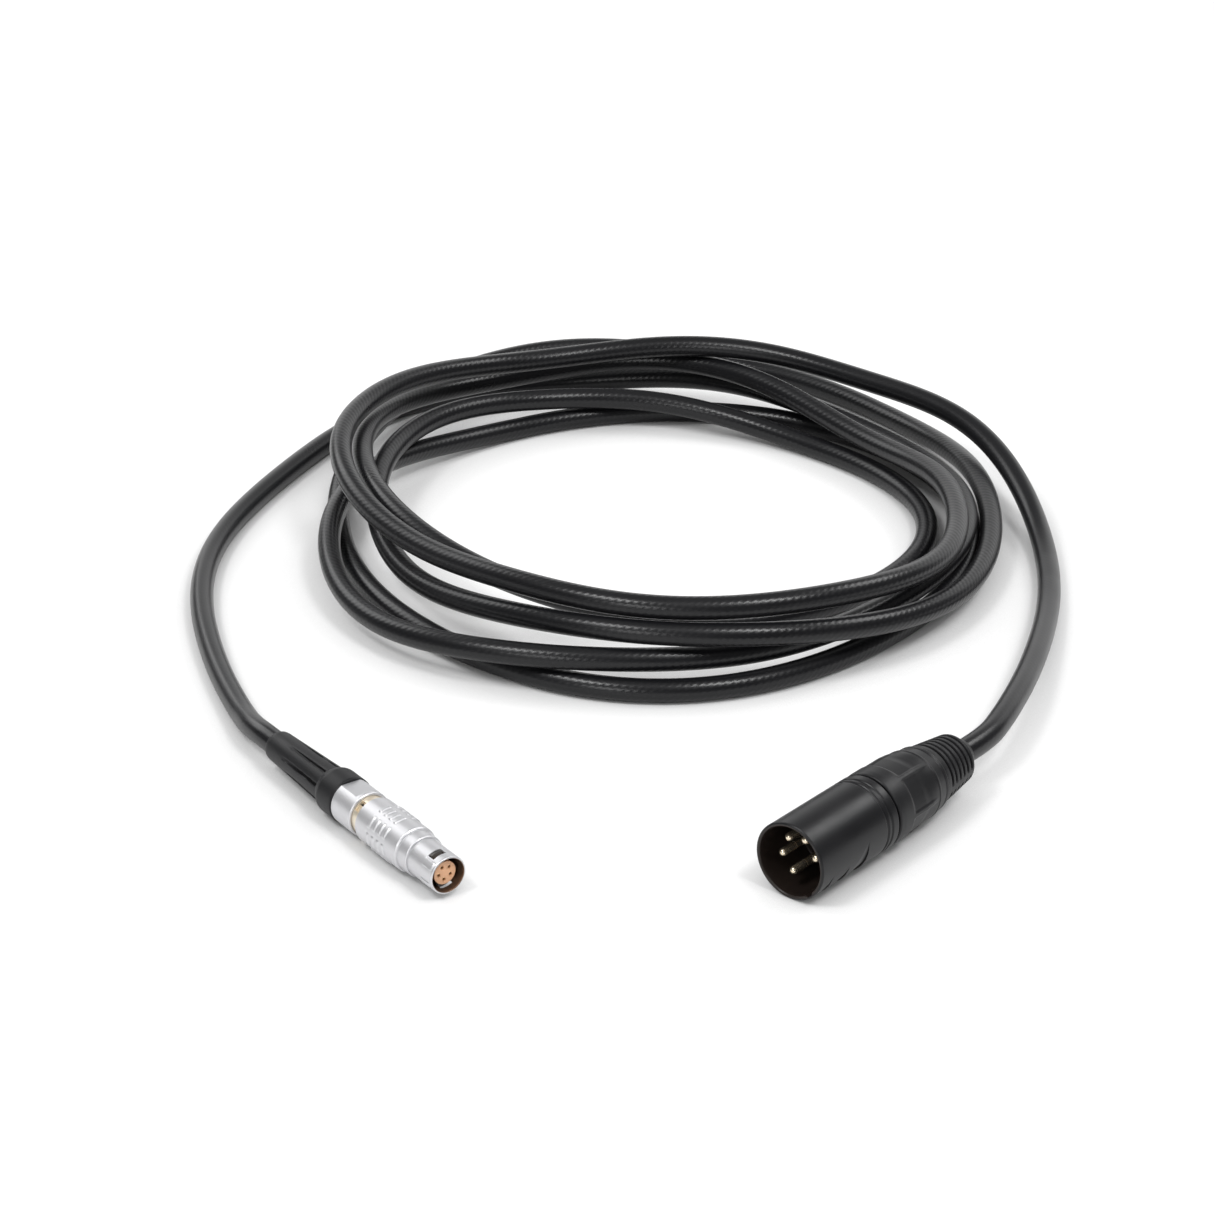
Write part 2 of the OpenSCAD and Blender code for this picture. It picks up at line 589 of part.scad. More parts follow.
// Direction of a route at one of its points, square to the face at either end
function along(p, i) =
    let (n = len(p) - 1)
    i == 0 ? unit(p[1] - p[0]) : i == n ? unit(p[n] - p[n - 1])
        : unit(unit(p[i + 1] - p[i]) + unit(p[i] - p[i - 1]));

// Ring of points square to a route, first point on the side that top names
function ring_points(p, i, sides, r, top) =
    let (t = along(p, i), side = unit(cross(t, top)), up = cross(side, t))
    [for (k = [0 : sides - 1])
        p[i] + r * (cos(360 * k / sides) * up + sin(360 * k / sides) * side)];

// Tube of one polyhedron with triangle faces, swept along a route
module tube(p, sides, r, top = [0, 0, 1]) {
    n = len(p);
    points = [for (i = [0 : n - 1]) each ring_points(p, i, sides, r, top)];
    walls = [for (i = [0 : n - 2], k = [0 : sides - 1])
        let (a = i * sides + k, b = i * sides + (k + 1) % sides)
        each [[a, b, b + sides], [a, b + sides, a + sides]]];
    caps = [for (k = [1 : sides - 2])
        each [[0, k + 1, k], [(n - 1) * sides, (n - 1) * sides + k, (n - 1) * sides + k + 1]]];
    polyhedron(points = points, faces = concat(walls, caps), convexity = 10);
}

// Reach at a direction counted from the start of the first turn
function reach_at(s) =
    let (i = min(max(s, 0), len(coil_reach) * directions - 1))
    coil_reach[floor(i / directions)][i % directions];

// Reach between two directions, blended through the four around it
function reach(u) =
    let (i = floor(u), f = u - i, a = reach_at(i - 1), b = reach_at(i), c = reach_at(i + 1),
         d = reach_at(i + 2))
    b + f / 2 * (c - a + f * (2 * a - 5 * b + 4 * c - d + f * (3 * (b - c) + d - a)));

// Middle of the cable at a ring of the coil, seen from above
function coil_plan(ring) =
    let (angle = ring * 360 / rings_per_turn, r = reach(ring * directions / rings_per_turn),
         x = r * cos(angle), y = coil_oval * r * sin(angle))
    [coil_at[0] + x * cos(coil_turn) - y * sin(coil_turn),
     coil_at[1] + x * sin(coil_turn) + y * cos(coil_turn)];

// Level direction of the cable at a ring
function coil_heading(ring) = let (v = coil_plan(ring + 0.1) - coil_plan(ring - 0.1)) [v[0], v[1], 0] / norm(v);

// How early a ring was laid: the coil was laid from its last turn up, except that part of
// the last turn was tucked in under the turn before it. Of two equals the first is lower.
function laid(ring) = (ring < tucked_from ? -ring : tucked_by - ring) + ring / 1000;

// Share of a layer's rise that a cable lifts one laid over it, for the distance of their middles
function lift(s) =
    let (t = min(max((s / layer_rise - crossing_flat) / (crossing_end - crossing_flat), 0), 1))
    1 - t * t * (3 - 2 * t);

// Stretches that a point of the plan lies over: the stretch, how far along it, the lift
function under(p, m) = [
    for (j = [0 : len(p) - 2])
        if (abs(j - m) > own_rings && max(laid(coil_first + j), laid(coil_first + j + 1)) < laid(coil_first + m))
            let (run = p[j + 1] - p[j], t = min(max((p[m] - p[j]) * run / (run * run), 0), 1),
                 share = lift(norm(p[m] - p[j] - t * run)))
            if (share > 0) [j, t, share]
];

// Height of ring k on what was laid before it, near[m] being what ring m lies over
function rests_at(z, k, near) = max([
    0,
    for (o = [-crossing_spread : crossing_spread])
        if (k + o >= 0 && k + o < len(z))
            for (n = near[k + o])
                let (a = z[n[0]], b = z[n[0] + 1])
                if (!is_undef(a) && !is_undef(b))
                    (a + n[1] * (b - a) + layer_rise) * n[2] - max(0, abs(o) - 1) * crossing_fall
]);

// Heights of all rings above the lowest layer, laid one after another
function coil_heights(p) =
    let (near = [for (m = [0 : len(p) - 1]) under(p, m)],
         order = [for (v = [tucked_from - 1 : -1 : coil_first])
             each v + tucked_by >= tucked_from && v + tucked_by <= coil_last ? [v, v + tucked_by] : [v]])
    [for (n = 0, z = [for (q = p) undef]; n <= len(order);
          k = n < len(order) ? order[n] - coil_first : -1,
          h = k < 0 ? 0 : rests_at(z, k, near),
          z = [for (i = [0 : len(z) - 1]) i == k ? h : z[i]],
          n = n + 1)
        if (n == len(order)) z][0];

// Middle line of the coil, with a straight level end of one diameter at either side
function coil_route() =
    let (p = [for (ring = [coil_first : coil_last]) coil_plan(ring)], z = coil_heights(p),
         q = [for (i = [0 : len(p) - 1]) [p[i][0], p[i][1], cable_r - floor_cut + z[i]]])
    concat([q[0] - cable_d * coil_heading(coil_first)], q,
           [q[len(q) - 1] + cable_d * coil_heading(coil_last)]);

// Least distance between the middles of two stretches of the coil, at least half a
// turn apart, on points a third of a ring's step from each other
function nearest(p) =
    let (q = [for (i = [0 : len(p) - 2], k = [0 : 2]) p[i] + (p[i + 1] - p[i]) * k / 3])
    min([for (i = [0 : len(q) - 1], j = [i + rings_per_turn * 3 / 2 : 1 : len(q) - 1])
        norm(q[i] - q[j])]);

function length_of(p, i = 1) = i >= len(p) ? 0 : norm(p[i] - p[i - 1]) + length_of(p, i + 1);

// Takes off what would reach below the surface that the cable lies on
module above_floor() {
    reach = 250;
    difference() {
        children();
        translate([coil_at[0] - reach, coil_at[1] - reach, -cable_d])
            cube([2 * reach, 2 * reach, cable_d]);
    }
}

// Free stretch that leaves a plug square to it and meets the coil's end in line
module tail(exit, heading, route, coil_end, coil_dir) {
    whole = concat([exit, exit + cable_d * heading], route, [coil_end + cable_d * coil_dir, coil_end]);
    echo(length_of_tail = length_of(whole));
    color([0.12, 0.12, 0.13]) above_floor() tube(whole, 10, cable_r);
}

module cable_coil() {
    route = coil_route();
    echo(least_gap_of_coil_to_itself = nearest(route) - cable_d);
    echo(length_of_coil = length_of(route));
    color([0.12, 0.12, 0.13]) above_floor() tube(route, 6, cable_r);
}

module cable_tail_xlr() {
    tail([xlr_at[0], xlr_at[1] + xlr_end, xlr_r], [0, 1, 0], tail_xlr_route,
         coil_route()[0], -coil_heading(coil_first));
}

module cable_tail_pushpull() {
    route = coil_route();
    heading = [-sin(pp_heading), cos(pp_heading), 0];
    tail([pp_at[0], pp_at[1], pp_collar_d / 2] + pp_end * heading, heading, tail_pushpull_route,
         route[len(route) - 1], coil_heading(coil_last));
}

xlr_shell();
xlr_insert();
xlr_pin_1();
xlr_pin_2();
xlr_pin_3();
xlr_pin_4();
xlr_pin_5();
xlr_ground_spring();
xlr_chuck();
xlr_bushing();
xlr_bend_relief();
xlr_conductors();
xlr_cable_end();
pushpull_outer_shell();
pushpull_latch_sleeve();
pushpull_insert();
pushpull_contact_1();
pushpull_contact_2();
pushpull_contact_3();
pushpull_contact_4();
pushpull_contact_5();
pushpull_half_shell_1();
pushpull_half_shell_2();
pushpull_collet();
pushpull_collet_nut();
pushpull_bend_relief();
pushpull_conductors();
pushpull_cable_end();
cable_tail_xlr();
cable_coil();
cable_tail_pushpull();
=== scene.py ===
"""Looks of a coiled screened cable with a five pole XLR plug and a push-pull plug.

The sizes are in millimetres where a name says mm and in metres everywhere else. +Z is up and
the cable lies on z = 0. Both plugs are described along their own axis: station 0 is the mating
face, stations grow towards the cable, and clock angles are read from the front, anticlockwise
from the right.
"""
import json
import logging
import math
from dataclasses import dataclass, field
from enum import Enum
from typing import Callable, Optional, Sequence

import bpy
import numpy as np
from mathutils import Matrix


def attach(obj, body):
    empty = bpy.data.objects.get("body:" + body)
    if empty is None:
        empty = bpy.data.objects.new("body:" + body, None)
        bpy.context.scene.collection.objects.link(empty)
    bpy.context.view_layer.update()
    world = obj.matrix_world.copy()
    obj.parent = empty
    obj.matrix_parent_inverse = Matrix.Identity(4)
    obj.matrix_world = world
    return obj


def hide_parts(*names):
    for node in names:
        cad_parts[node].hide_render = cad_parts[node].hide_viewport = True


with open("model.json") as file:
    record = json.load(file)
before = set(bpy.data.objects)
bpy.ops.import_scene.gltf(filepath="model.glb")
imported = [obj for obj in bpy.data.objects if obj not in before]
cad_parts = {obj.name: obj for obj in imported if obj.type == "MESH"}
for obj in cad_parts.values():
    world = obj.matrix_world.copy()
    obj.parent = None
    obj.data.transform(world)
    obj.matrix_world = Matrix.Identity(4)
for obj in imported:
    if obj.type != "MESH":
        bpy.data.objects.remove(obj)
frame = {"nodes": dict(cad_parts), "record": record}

LOG = logging.getLogger("cable")
MM = 0.001
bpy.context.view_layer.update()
Array = np.ndarray
Socket = bpy.types.NodeSocket
Triple = tuple[float, float, float]


# ---------------------------------------------------------------- shapes

def ease(t: Array) -> Array:
    """Smooth step 3t^2 - 2t^3 of t held between 0 and 1.

    Args:
        t: Where the step is read, 0 at its foot and 1 at its head.

    Returns:
        The eased values.
    """
    t = np.clip(t, 0.0, 1.0)
    return t * t * (3.0 - 2.0 * t)


def ramp(x: Array, start: float, end: float) -> Array:
    """0 on the start's side and 1 on the end's side, easing from one to the other between them.

    Args:
        x: Where it is read.
        start: Foot of the ramp.
        end: Head of the ramp, on either side of its foot.

    Returns:
        Values from 0 to 1.
    """
    return ease((x - start) / (end - start))


def hump(x: Array, stops: tuple[float, float, float, float]) -> Array:
    """0 up to the first stop, 1 from the second to the third, and 0 from the fourth on.

    Args:
        x: Where it is read.
        stops: The four stops in order.

    Returns:
        Values from 0 to 1.
    """
    return ramp(x, stops[0], stops[1]) * ramp(x, stops[3], stops[2])


def plateau(x: Array, low: float, high: float, soft: float) -> Array:
    """1 between low and high, easing to 0 over soft outside of either.

    Args:
        x: Where it is read.
        low: Start of the level stretch.
        high: End of the level stretch.
        soft: Width of each flank.

    Returns:
        Values from 0 to 1.
    """
    return hump(x, (low - soft, low, high, high + soft))


def off_clock(angle: Array, clock: float, count: int = 1) -> Array:
    """Signed angle in radians from a clock position, or from the nearest of several spread evenly.

    Args:
        angle: Angles round the axis in radians.
        clock: Clock position in degrees, the first of the several.
        count: How many positions there are.

    Returns:
        Differences up to half the spread between two positions.
    """
    spread = 2 * math.pi / count
    return (angle - math.radians(clock) + spread / 2) % spread - spread / 2


def lengths(points: Array, closed: bool = False) -> Array:
    """Distance along a chain of points.

    Args:
        points: Points in order.
        closed: Whether the chain goes on to its first point.

    Returns:
        The distance at each point, and once more at the first one if the chain is closed.
    """
    run = np.diff(np.vstack([points, points[:1]]) if closed else points, axis=0)
    return np.r_[0.0, np.cumsum(np.linalg.norm(run, axis=1))]


def rounded(outline: Sequence[tuple[float, float]], radius: float, closed: bool = True,
            share: float = 0.45, arc_points: int = 5) -> Array:
    """Rounds the corners of an outline with a quadratic arc at each.

    Args:
        outline: Corner points.
        radius: How far an arc reaches along either side.
        closed: Whether the last point joins the first.
        share: The most of a short side that an arc takes.
        arc_points: Number of points in an arc.

    Returns:
        The points of the rounded outline, in order.
    """
    p = np.asarray(outline, float)
    before, after = np.roll(p, 1, axis=0) - p, np.roll(p, -1, axis=0) - p
    lb, la = np.linalg.norm(before, axis=1), np.linalg.norm(after, axis=1)
    reach = np.minimum(radius, share * np.minimum(lb, la))[:, None]
    if not closed:
        reach[[0, -1]] = 0.0
    start = p + before / lb[:, None] * reach
    end = p + after / la[:, None] * reach
    t = np.linspace(0.0, 1.0, arc_points)[None, :, None]
    arcs = (1 - t) ** 2 * start[:, None] + 2 * t * (1 - t) * p[:, None] + t ** 2 * end[:, None]
    return without_repeats(arcs.reshape(-1, 2))


def without_repeats(points: Array) -> Array:
    """Leaves out points that fall on the one before.

    Args:
        points: Points in order.

    Returns:
        The points without repeats.
    """
    step = np.linalg.norm(np.diff(points, axis=0), axis=1)
    return points[np.r_[True, step > 1e-6]]


def denser(outline: Array, step: float, closed: bool = True) -> Array:
    """Puts points into an outline so that none is more than a step from the next.

    Args:
        outline: Points in order.
        step: Largest distance that stays.
        closed: Whether the last point joins the first.

    Returns:
        The outline with the points put in.
    """
    ends = np.roll(outline, -1, axis=0) if closed else np.r_[outline[1:], outline[-1:]]
    count = np.maximum(1, np.ceil(np.linalg.norm(ends - outline, axis=1) / step)).astype(int)
    if not closed:
        count[-1] = 1
    t = np.concatenate([np.arange(n) / n for n in count])[:, None]
    return np.repeat(outline, count, axis=0) * (1 - t) + np.repeat(ends, count, axis=0) * t


@dataclass(frozen=True)
class PlugAxis:
    """Place and heading of a plug: where its mating face is and which way the cable leaves."""

    x_mm: float
    y_mm: float
    height_mm: float
    heading_deg: float

    def right(self) -> Array:
        """Unit vector to the right as seen from the front."""
        turn = math.radians(self.heading_deg)
        return np.array([math.cos(turn), math.sin(turn), 0.0])

    def rear(self) -> Array:
        """Unit vector from the mating face towards the cable."""
        turn = math.radians(self.heading_deg)
        return np.array([-math.sin(turn), math.cos(turn), 0.0])

    def place(self, station: Array, radius: Array, angle: Array) -> Array:
        """Places points given by station, radius and angle round the axis.

        Args:
            station: Distance behind the mating face in mm.
            radius: Distance from the axis in mm.
            angle: Angle round the axis in radians.

        Returns:
            Points in metres, with a last axis of 3.
        """
        origin = np.array([self.x_mm, self.y_mm, self.height_mm])
        side = np.multiply.outer(radius * np.cos(angle), self.right())
        up = np.multiply.outer(radius * np.sin(angle), np.array([0.0, 0.0, 1.0]))
        along = np.multiply.outer(station, self.rear())
        return (origin + side + up + along) * MM

    def exit(self, station: float) -> Array:
        """Point of the axis in mm at a station."""
        return np.array([self.x_mm, self.y_mm, self.height_mm]) + station * self.rear()


XLR_AXIS = PlugAxis(61.84, -6.74, 9.5, 0.0)
PUSHPULL_AXIS = PlugAxis(3.48, -56.26, 5.9, 75.7)


@dataclass
class Surface:
    """A mesh put together from grids of points and fans that close their ends."""

    points: list[Array] = field(default_factory=list)
    corners: list[Array] = field(default_factory=list)
    maps: list[Array] = field(default_factory=list)
    count: int = 0

    def grid(self, points: Array, along: Array, poles: Optional[Array] = None,
             keep: Optional[Array] = None) -> None:
        """Adds a grid whose columns close round an axis, and whose rows close or end in poles.

        Args:
            points: Rows by columns by 3. Rows run so that row direction crossed with column
                direction points outwards.
            along: The UV map's first coordinate of each row, one more if the rows close.
            poles: Middles of the first and the last row, which fans then close. Without them
                the last row joins the first.
            keep: Rows by columns, False where a face is left out of closed rows.
        """
        rows, cols = points.shape[:2]
        i, j = np.meshgrid(np.arange(rows if poles is None else rows - 1), np.arange(cols), indexing="ij")
        if keep is not None:
            i, j = i[keep], j[keep]
        i, j = i.ravel(), j.ravel()
        ni, nj = (i + 1) % rows, (j + 1) % cols
        quads = np.stack([i * cols + j, ni * cols + j, ni * cols + nj, i * cols + nj], axis=1)
        u = np.stack([along[i], along[i + 1], along[i + 1], along[i]], axis=1)
        v = np.stack([j, j, j + 1, j + 1], axis=1) / cols
        first = self.count
        self.points.append(points.reshape(-1, 3))
        self.corners.append(quads + first)
        self.maps.append(np.stack([u, v], axis=2))
        self.count += rows * cols
        if poles is not None:
            self.fan(poles[0], first, cols, outward=False)
            self.fan(poles[1], first + (rows - 1) * cols, cols, outward=True)

    def fan(self, centre: Array, first: int, cols: int, outward: bool) -> None:
        """Closes a row of a grid with triangles to a centre point.

        Args:
            centre: The centre point in metres.
            first: Number of the row's first point.
            cols: Points in the row.
            outward: Whether the row is the grid's last one.
        """
        j = np.arange(cols)
        a, b = first + j, first + (j + 1) % cols
        middle = np.full(cols, self.count)
        faces = np.stack([a, middle, b] if outward else [b, middle, a], axis=1)
        self.points.append(np.asarray(centre, float)[None])
        self.corners.append(faces)
        self.maps.append(np.full((cols, 3, 2), 0.5))
        self.count += 1

    def walls(self, faces: Array) -> None:
        """Adds quads between points that are already there.

        Args:
            faces: Point numbers, four to a face.
        """
        self.corners.append(faces)
        self.maps.append(np.full((len(faces), 4, 2), 0.5))

    def build(self, name: str, sharp_deg: float = 40.0) -> bpy.types.Object:
        """Makes the Blender object.

        Args:
            name: Name of the piece.
            sharp_deg: Edges that bend more than this are shaded sharp.

        Returns:
            The linked object, at the origin.
        """
        vertices = np.concatenate(self.points).astype(np.float32)
        loops = np.concatenate([c.ravel() for c in self.corners]).astype(np.int32)
        uv = np.concatenate([m.reshape(-1, 2) for m in self.maps]).astype(np.float32)
        sizes = np.concatenate([np.full(len(c), c.shape[1]) for c in self.corners])
        mesh = bpy.data.meshes.new(name)
        mesh.vertices.add(len(vertices))
        mesh.vertices.foreach_set("co", vertices.ravel())
        mesh.loops.add(len(loops))
        mesh.loops.foreach_set("vertex_index", loops)
        mesh.polygons.add(len(sizes))
        mesh.polygons.foreach_set("loop_start", np.r_[0, np.cumsum(sizes)[:-1]].astype(np.int32))
        mesh.update(calc_edges=True)
        mesh.polygons.foreach_set("use_smooth", np.ones(len(sizes), bool))
        mesh.uv_layers.new(name="lengthwise").data.foreach_set("uv", uv.ravel())
        mesh.validate()
        mesh.set_sharp_from_angle(angle=math.radians(sharp_deg))
        mark_edges(mesh)
        piece = bpy.data.objects.new(name, mesh)
        bpy.context.scene.collection.objects.link(piece)
        return piece


def mark_edges(mesh: bpy.types.Mesh, gain: float = 4.0, least: float = 0.25) -> None:
    """Stores how far each point stands out of its neighbours, as the attribute edge.

    The mean of the directions to the neighbours, taken along the point's normal, is negative
    on a convex edge. Its opposite, scaled and less what any round surface has, is the mark.

    Args:
        mesh: The mesh to mark.
        gain: Scale of the mark.
        least: What is taken off the scaled value.
    """
    count = len(mesh.vertices)
    place, normal = np.empty(count * 3), np.empty(count * 3)
    mesh.vertices.foreach_get("co", place)
    mesh.vertices.foreach_get("normal", normal)
    place, normal = place.reshape(-1, 3), normal.reshape(-1, 3)
    ends = np.empty(len(mesh.edges) * 2, dtype=np.int32)
    mesh.edges.foreach_get("vertices", ends)
    a, b = ends.reshape(-1, 2).T
    run = place[b] - place[a]
    run /= np.maximum(np.linalg.norm(run, axis=1), 1e-9)[:, None]
    out = np.r_[-(run * normal[a]).sum(1), (run * normal[b]).sum(1)]
    total = np.bincount(np.r_[a, b], out, count)
    links = np.maximum(np.bincount(np.r_[a, b], minlength=count), 1)
    mark = np.clip(total / links * gain - least, 0.0, 1.0)
    layer = mesh.attributes.new("edge", "FLOAT", "POINT")
    layer.data.foreach_set("value", mark.astype(np.float32))


@dataclass(frozen=True)
class Skin:
    """A turned surface as three grids: station and radius in mm, and angle in radians."""

    station: Array
    angle: Array
    radius: Array

    @classmethod
    def turn(cls, outline: Array, sides: int) -> "Skin":
        """Turns an outline, with a row for each of its points and a column for each side.

        Args:
            outline: Points (station, radius) in mm.
            sides: Number of points round the axis.

        Returns:
            The surface before it is carved.
        """
        angle = np.arange(sides)[None] * 2 * math.pi / sides
        return cls(*np.broadcast_arrays(outline[:, :1], angle, outline[:, 1:]))


Carve = Callable[[Skin], Array]


def turned(name: str, axis: PlugAxis, outline: Array, sides: int, carve: Carve,
           sharp_deg: float = 40.0) -> bpy.types.Object:
    """Turns a closed outline round a plug's axis and carves it.

    The carve gives the radius by station and angle, so grooves, flats, bars and notches are
    functions of the two.

    Args:
        name: Name of the piece.
        axis: The plug's axis.
        outline: Points in mm, from the front over the outside, the rear and the inside back.
        sides: Number of points round the axis.
        carve: Function of the turned surface that gives the carved radii.
        sharp_deg: Edges that bend more than this are shaded sharp.

    Returns:
        The finished object.
    """
    skin = Skin.turn(outline, sides)
    surface = Surface()
    surface.grid(axis.place(skin.station, carve(skin), skin.angle), lengths(outline, closed=True) * MM)
    return surface.build(name, sharp_deg)


def spun(name: str, axis: PlugAxis, outline: Array, sides: int, clock: float,
         offset: float) -> bpy.types.Object:
    """Turns an open outline into a closed pin whose own axis is parallel to the plug's.

    Args:
        name: Name of the piece.
        axis: The plug's axis.
        outline: Points (station, radius) in mm from the tip's pole to the rear's pole.
        sides: Number of points round the pin.
        clock: Clock position of the pin in degrees.
        offset: Distance of the pin from the plug's axis in mm.

    Returns:
        The finished object.
    """
    ring, turn = outline[1:-1], math.radians(clock)
    skin = Skin.turn(ring, sides)
    x = offset * math.cos(turn) + skin.radius * np.cos(skin.angle)
    z = offset * math.sin(turn) + skin.radius * np.sin(skin.angle)
    poles = axis.place(outline[[0, -1], 0], np.full(2, offset), np.full(2, turn))
    surface = Surface()
    surface.grid(axis.place(skin.station, np.hypot(x, z), np.arctan2(z, x)), lengths(ring) * MM, poles=poles)
    return surface.build(name)


# ---------------------------------------------------------------- materials

class Slot(Enum):
    """Material slots of the record that pieces take their finish from."""

    BLACK_METAL = "black_metal"
    BLACK_PLASTIC = "black_plastic"
    BLACK_RUBBER = "black_rubber"
    JACKET = "cable_jacket"
    GOLD = "gold_contact"
    SPRING = "spring_metal"
    WHITE_PLASTIC = "white_plastic"
    INSULATION = "wire_insulation"
    CHROME = "satin_chrome"
    BRASS = "pale_brass"
    TAN = "tan_insulator"


class Tree:
    """Short hand for putting nodes into a material, a world or a node group."""

    def __init__(self, tree: bpy.types.NodeTree) -> None:
        """Keeps the tree that the nodes go into."""
        self.tree = tree

    def node(self, kind: str, **values: object) -> bpy.types.Node:
        """Adds a node and sets its properties.

        Args:
            kind: Blender's name of the node type.
            **values: Properties of the node.

        Returns:
            The node.
        """
        made = self.tree.nodes.new(kind)
        for key, value in values.items():
            setattr(made, key, value)
        return made

    def feed(self, node: bpy.types.Node, **inputs: object) -> bpy.types.Node:
        """Sets or links inputs of a node.

        Args:
            node: The node.
            **inputs: Sockets to link or values to set, by the input's name with an underscore
                for each space, or by in and its number.

        Returns:
            The node.
        """
        for key, value in inputs.items():
            numbered = key.startswith("in") and key[2:].isdigit()
            socket = node.inputs[int(key[2:]) if numbered else key.replace("_", " ")]
            if isinstance(value, Socket):
                self.tree.links.new(value, socket)
            else:
                socket.default_value = value
        return node

    def math(self, operation: str, *operands: object, clamp: bool = False) -> Socket:
        """Adds a math node.

        Args:
            operation: Blender's name of the operation.
            *operands: Sockets or values, in order.
            clamp: Whether the result is held between 0 and 1.

        Returns:
            The result.
        """
        made = self.node("ShaderNodeMath", operation=operation, use_clamp=clamp)
        return self.feed(made, **{f"in{k}": value for k, value in enumerate(operands)}).outputs[0]

    def vector(self, operation: str, *operands: object) -> Socket:
        """Adds a vector math node.

        Args:
            operation: Blender's name of the operation.
            *operands: Sockets or values, in order.

        Returns:
            The resulting vector, or the number where the operation gives one.
        """
        made = self.node("ShaderNodeVectorMath", operation=operation)
        self.feed(made, **{f"in{k}": value for k, value in enumerate(operands)})
        return made.outputs["Value" if operation in ("DOT_PRODUCT", "LENGTH") else "Vector"]

    def noise(self, place: Socket, scale: object, detail: float) -> Socket:
        """Adds a noise texture and gives its value, from 0 to 1."""
        made = self.node("ShaderNodeTexNoise")
        return self.feed(made, Vector=place, Scale=scale, Detail=detail).outputs[0]

    def mix(self, share: object, first: object, second: object) -> Socket:
        """Mixes two colours by the share of the second."""
        made = self.node("ShaderNodeMix", data_type="RGBA")
        return self.feed(made, in0=share, in6=first, in7=second).outputs[2]

    def bump(self, height: Socket, strength: float, height_mm: float) -> Socket:
        """Turns heights from 0 to 1 into a normal, 1 standing for the height given in mm."""
        made = self.node("ShaderNodeBump")
        return self.feed(made, Height=height, Strength=strength, Distance=height_mm * MM).outputs[0]

    def group(self, tree: bpy.types.NodeTree, **inputs: object) -> bpy.types.NodeOutputs:
        """Places a node group with values of its own and gives its outputs."""
        return self.feed(self.node("ShaderNodeGroup", node_tree=tree), **inputs).outputs

    def lengthwise(self) -> bpy.types.NodeOutputs:
        """Gives X, metres along the piece's outline or path, and Y, the share of a turn round it."""
        place = self.node("ShaderNodeUVMap", uv_map="lengthwise").outputs[0]
        return self.feed(self.node("ShaderNodeSeparateXYZ"), Vector=place).outputs


def new_group(name: str, inputs: dict[str, float | Triple],
              outputs: Sequence[str]) -> tuple[Tree, bpy.types.NodeOutputs, bpy.types.Node]:
    """Makes a shader node group with named sockets.

    Args:
        name: Name of the group.
        inputs: Default of each input by its name, a number or a vector.
        outputs: Names of the outputs, all numbers.

    Returns:
        The group's tree, what it is given, and the node that takes its results.
    """
    group = bpy.data.node_groups.new(name, "ShaderNodeTree")
    for label, default in inputs.items():
        kind = "NodeSocketVector" if isinstance(default, tuple) else "NodeSocketFloat"
        group.interface.new_socket(name=label, in_out="INPUT", socket_type=kind).default_value = default
    for label in outputs:
        group.interface.new_socket(name=label, in_out="OUTPUT", socket_type="NodeSocketFloat")
    t = Tree(group)
    return t, t.node("NodeGroupInput").outputs, t.node("NodeGroupOutput")


def grain_group() -> bpy.types.NodeTree:
    """Fine grain of a moulded or coated surface with a slow change of sheen.

    Returns:
        Group with Height and Shade, from 0 to 1, and Sheen, round 0.
    """
    t, given, end = new_group("surface_grain", {"Grain Scale": 4000.0, "Patch Scale": 90.0},
                              ("Height", "Sheen", "Shade"))
    place = t.node("ShaderNodeTexCoord").outputs["Object"]
    patch = t.noise(place, given["Patch Scale"], detail=4.0)
    t.feed(end, Height=t.noise(place, given["Grain Scale"], detail=2.0),
           Sheen=t.math("SUBTRACT", patch, 0.5), Shade=patch)
    return t.tree


def wear_group() -> bpy.types.NodeTree:
    """Light rubbing along convex edges, broken up by noise to which Evenness is added.

    Returns:
        Group with the mask Wear, from 0 to 1.
    """
    t, given, end = new_group("edge_wear", {"Break Scale": 900.0, "Amount": 0.5, "Evenness": 0.35},
                              ("Wear",))
    place = t.node("ShaderNodeTexCoord").outputs["Object"]
    edge = t.node("ShaderNodeAttribute", attribute_name="edge").outputs["Fac"]
    patches = t.noise(place, given["Break Scale"], detail=3.0)
    broken = t.math("ADD", patches, given["Evenness"], clamp=True)
    t.feed(end, Wear=t.math("MULTIPLY", t.math("MULTIPLY", edge, broken), given["Amount"], clamp=True))
    return t.tree


def lay_group() -> bpy.types.NodeTree:
    """Imprint of the braided screen in the jacket: two crossing lays of shallow ridges.

    With u the length along the cable and v the share of a turn round it, each lay is the sine
    of u / pitch plus or minus strands times v, brought to 0 to 1. Their product, the crossings,
    stands out, and the outer lay is added to it, so that it shows more than the inner one.

    Returns:
        Group with Height and Ridge, both from 0 to 1.
    """
    t, given, end = new_group("braid_imprint", {"Pitch": 0.0022, "Strands": 8.0, "Crossings": 0.4,
                                                "Outer Lay": 0.6}, ("Height", "Ridge"))
    place = t.lengthwise()
    along = t.math("DIVIDE", place["X"], given["Pitch"])
    round_it = t.math("MULTIPLY", place["Y"], given["Strands"])
    lays = []
    for sign in ("ADD", "SUBTRACT"):
        phase = t.math("MULTIPLY", t.math(sign, along, round_it), 2 * math.pi)
        lays.append(t.math("MULTIPLY", t.math("ADD", t.math("SINE", phase), 1.0), 0.5))
    both = t.math("MULTIPLY", *lays)
    crossings = t.math("MULTIPLY", both, given["Crossings"])
    outer = t.math("MULTIPLY", lays[0], given["Outer Lay"])
    t.feed(end, Height=t.math("ADD", crossings, outer), Ridge=both)
    return t.tree


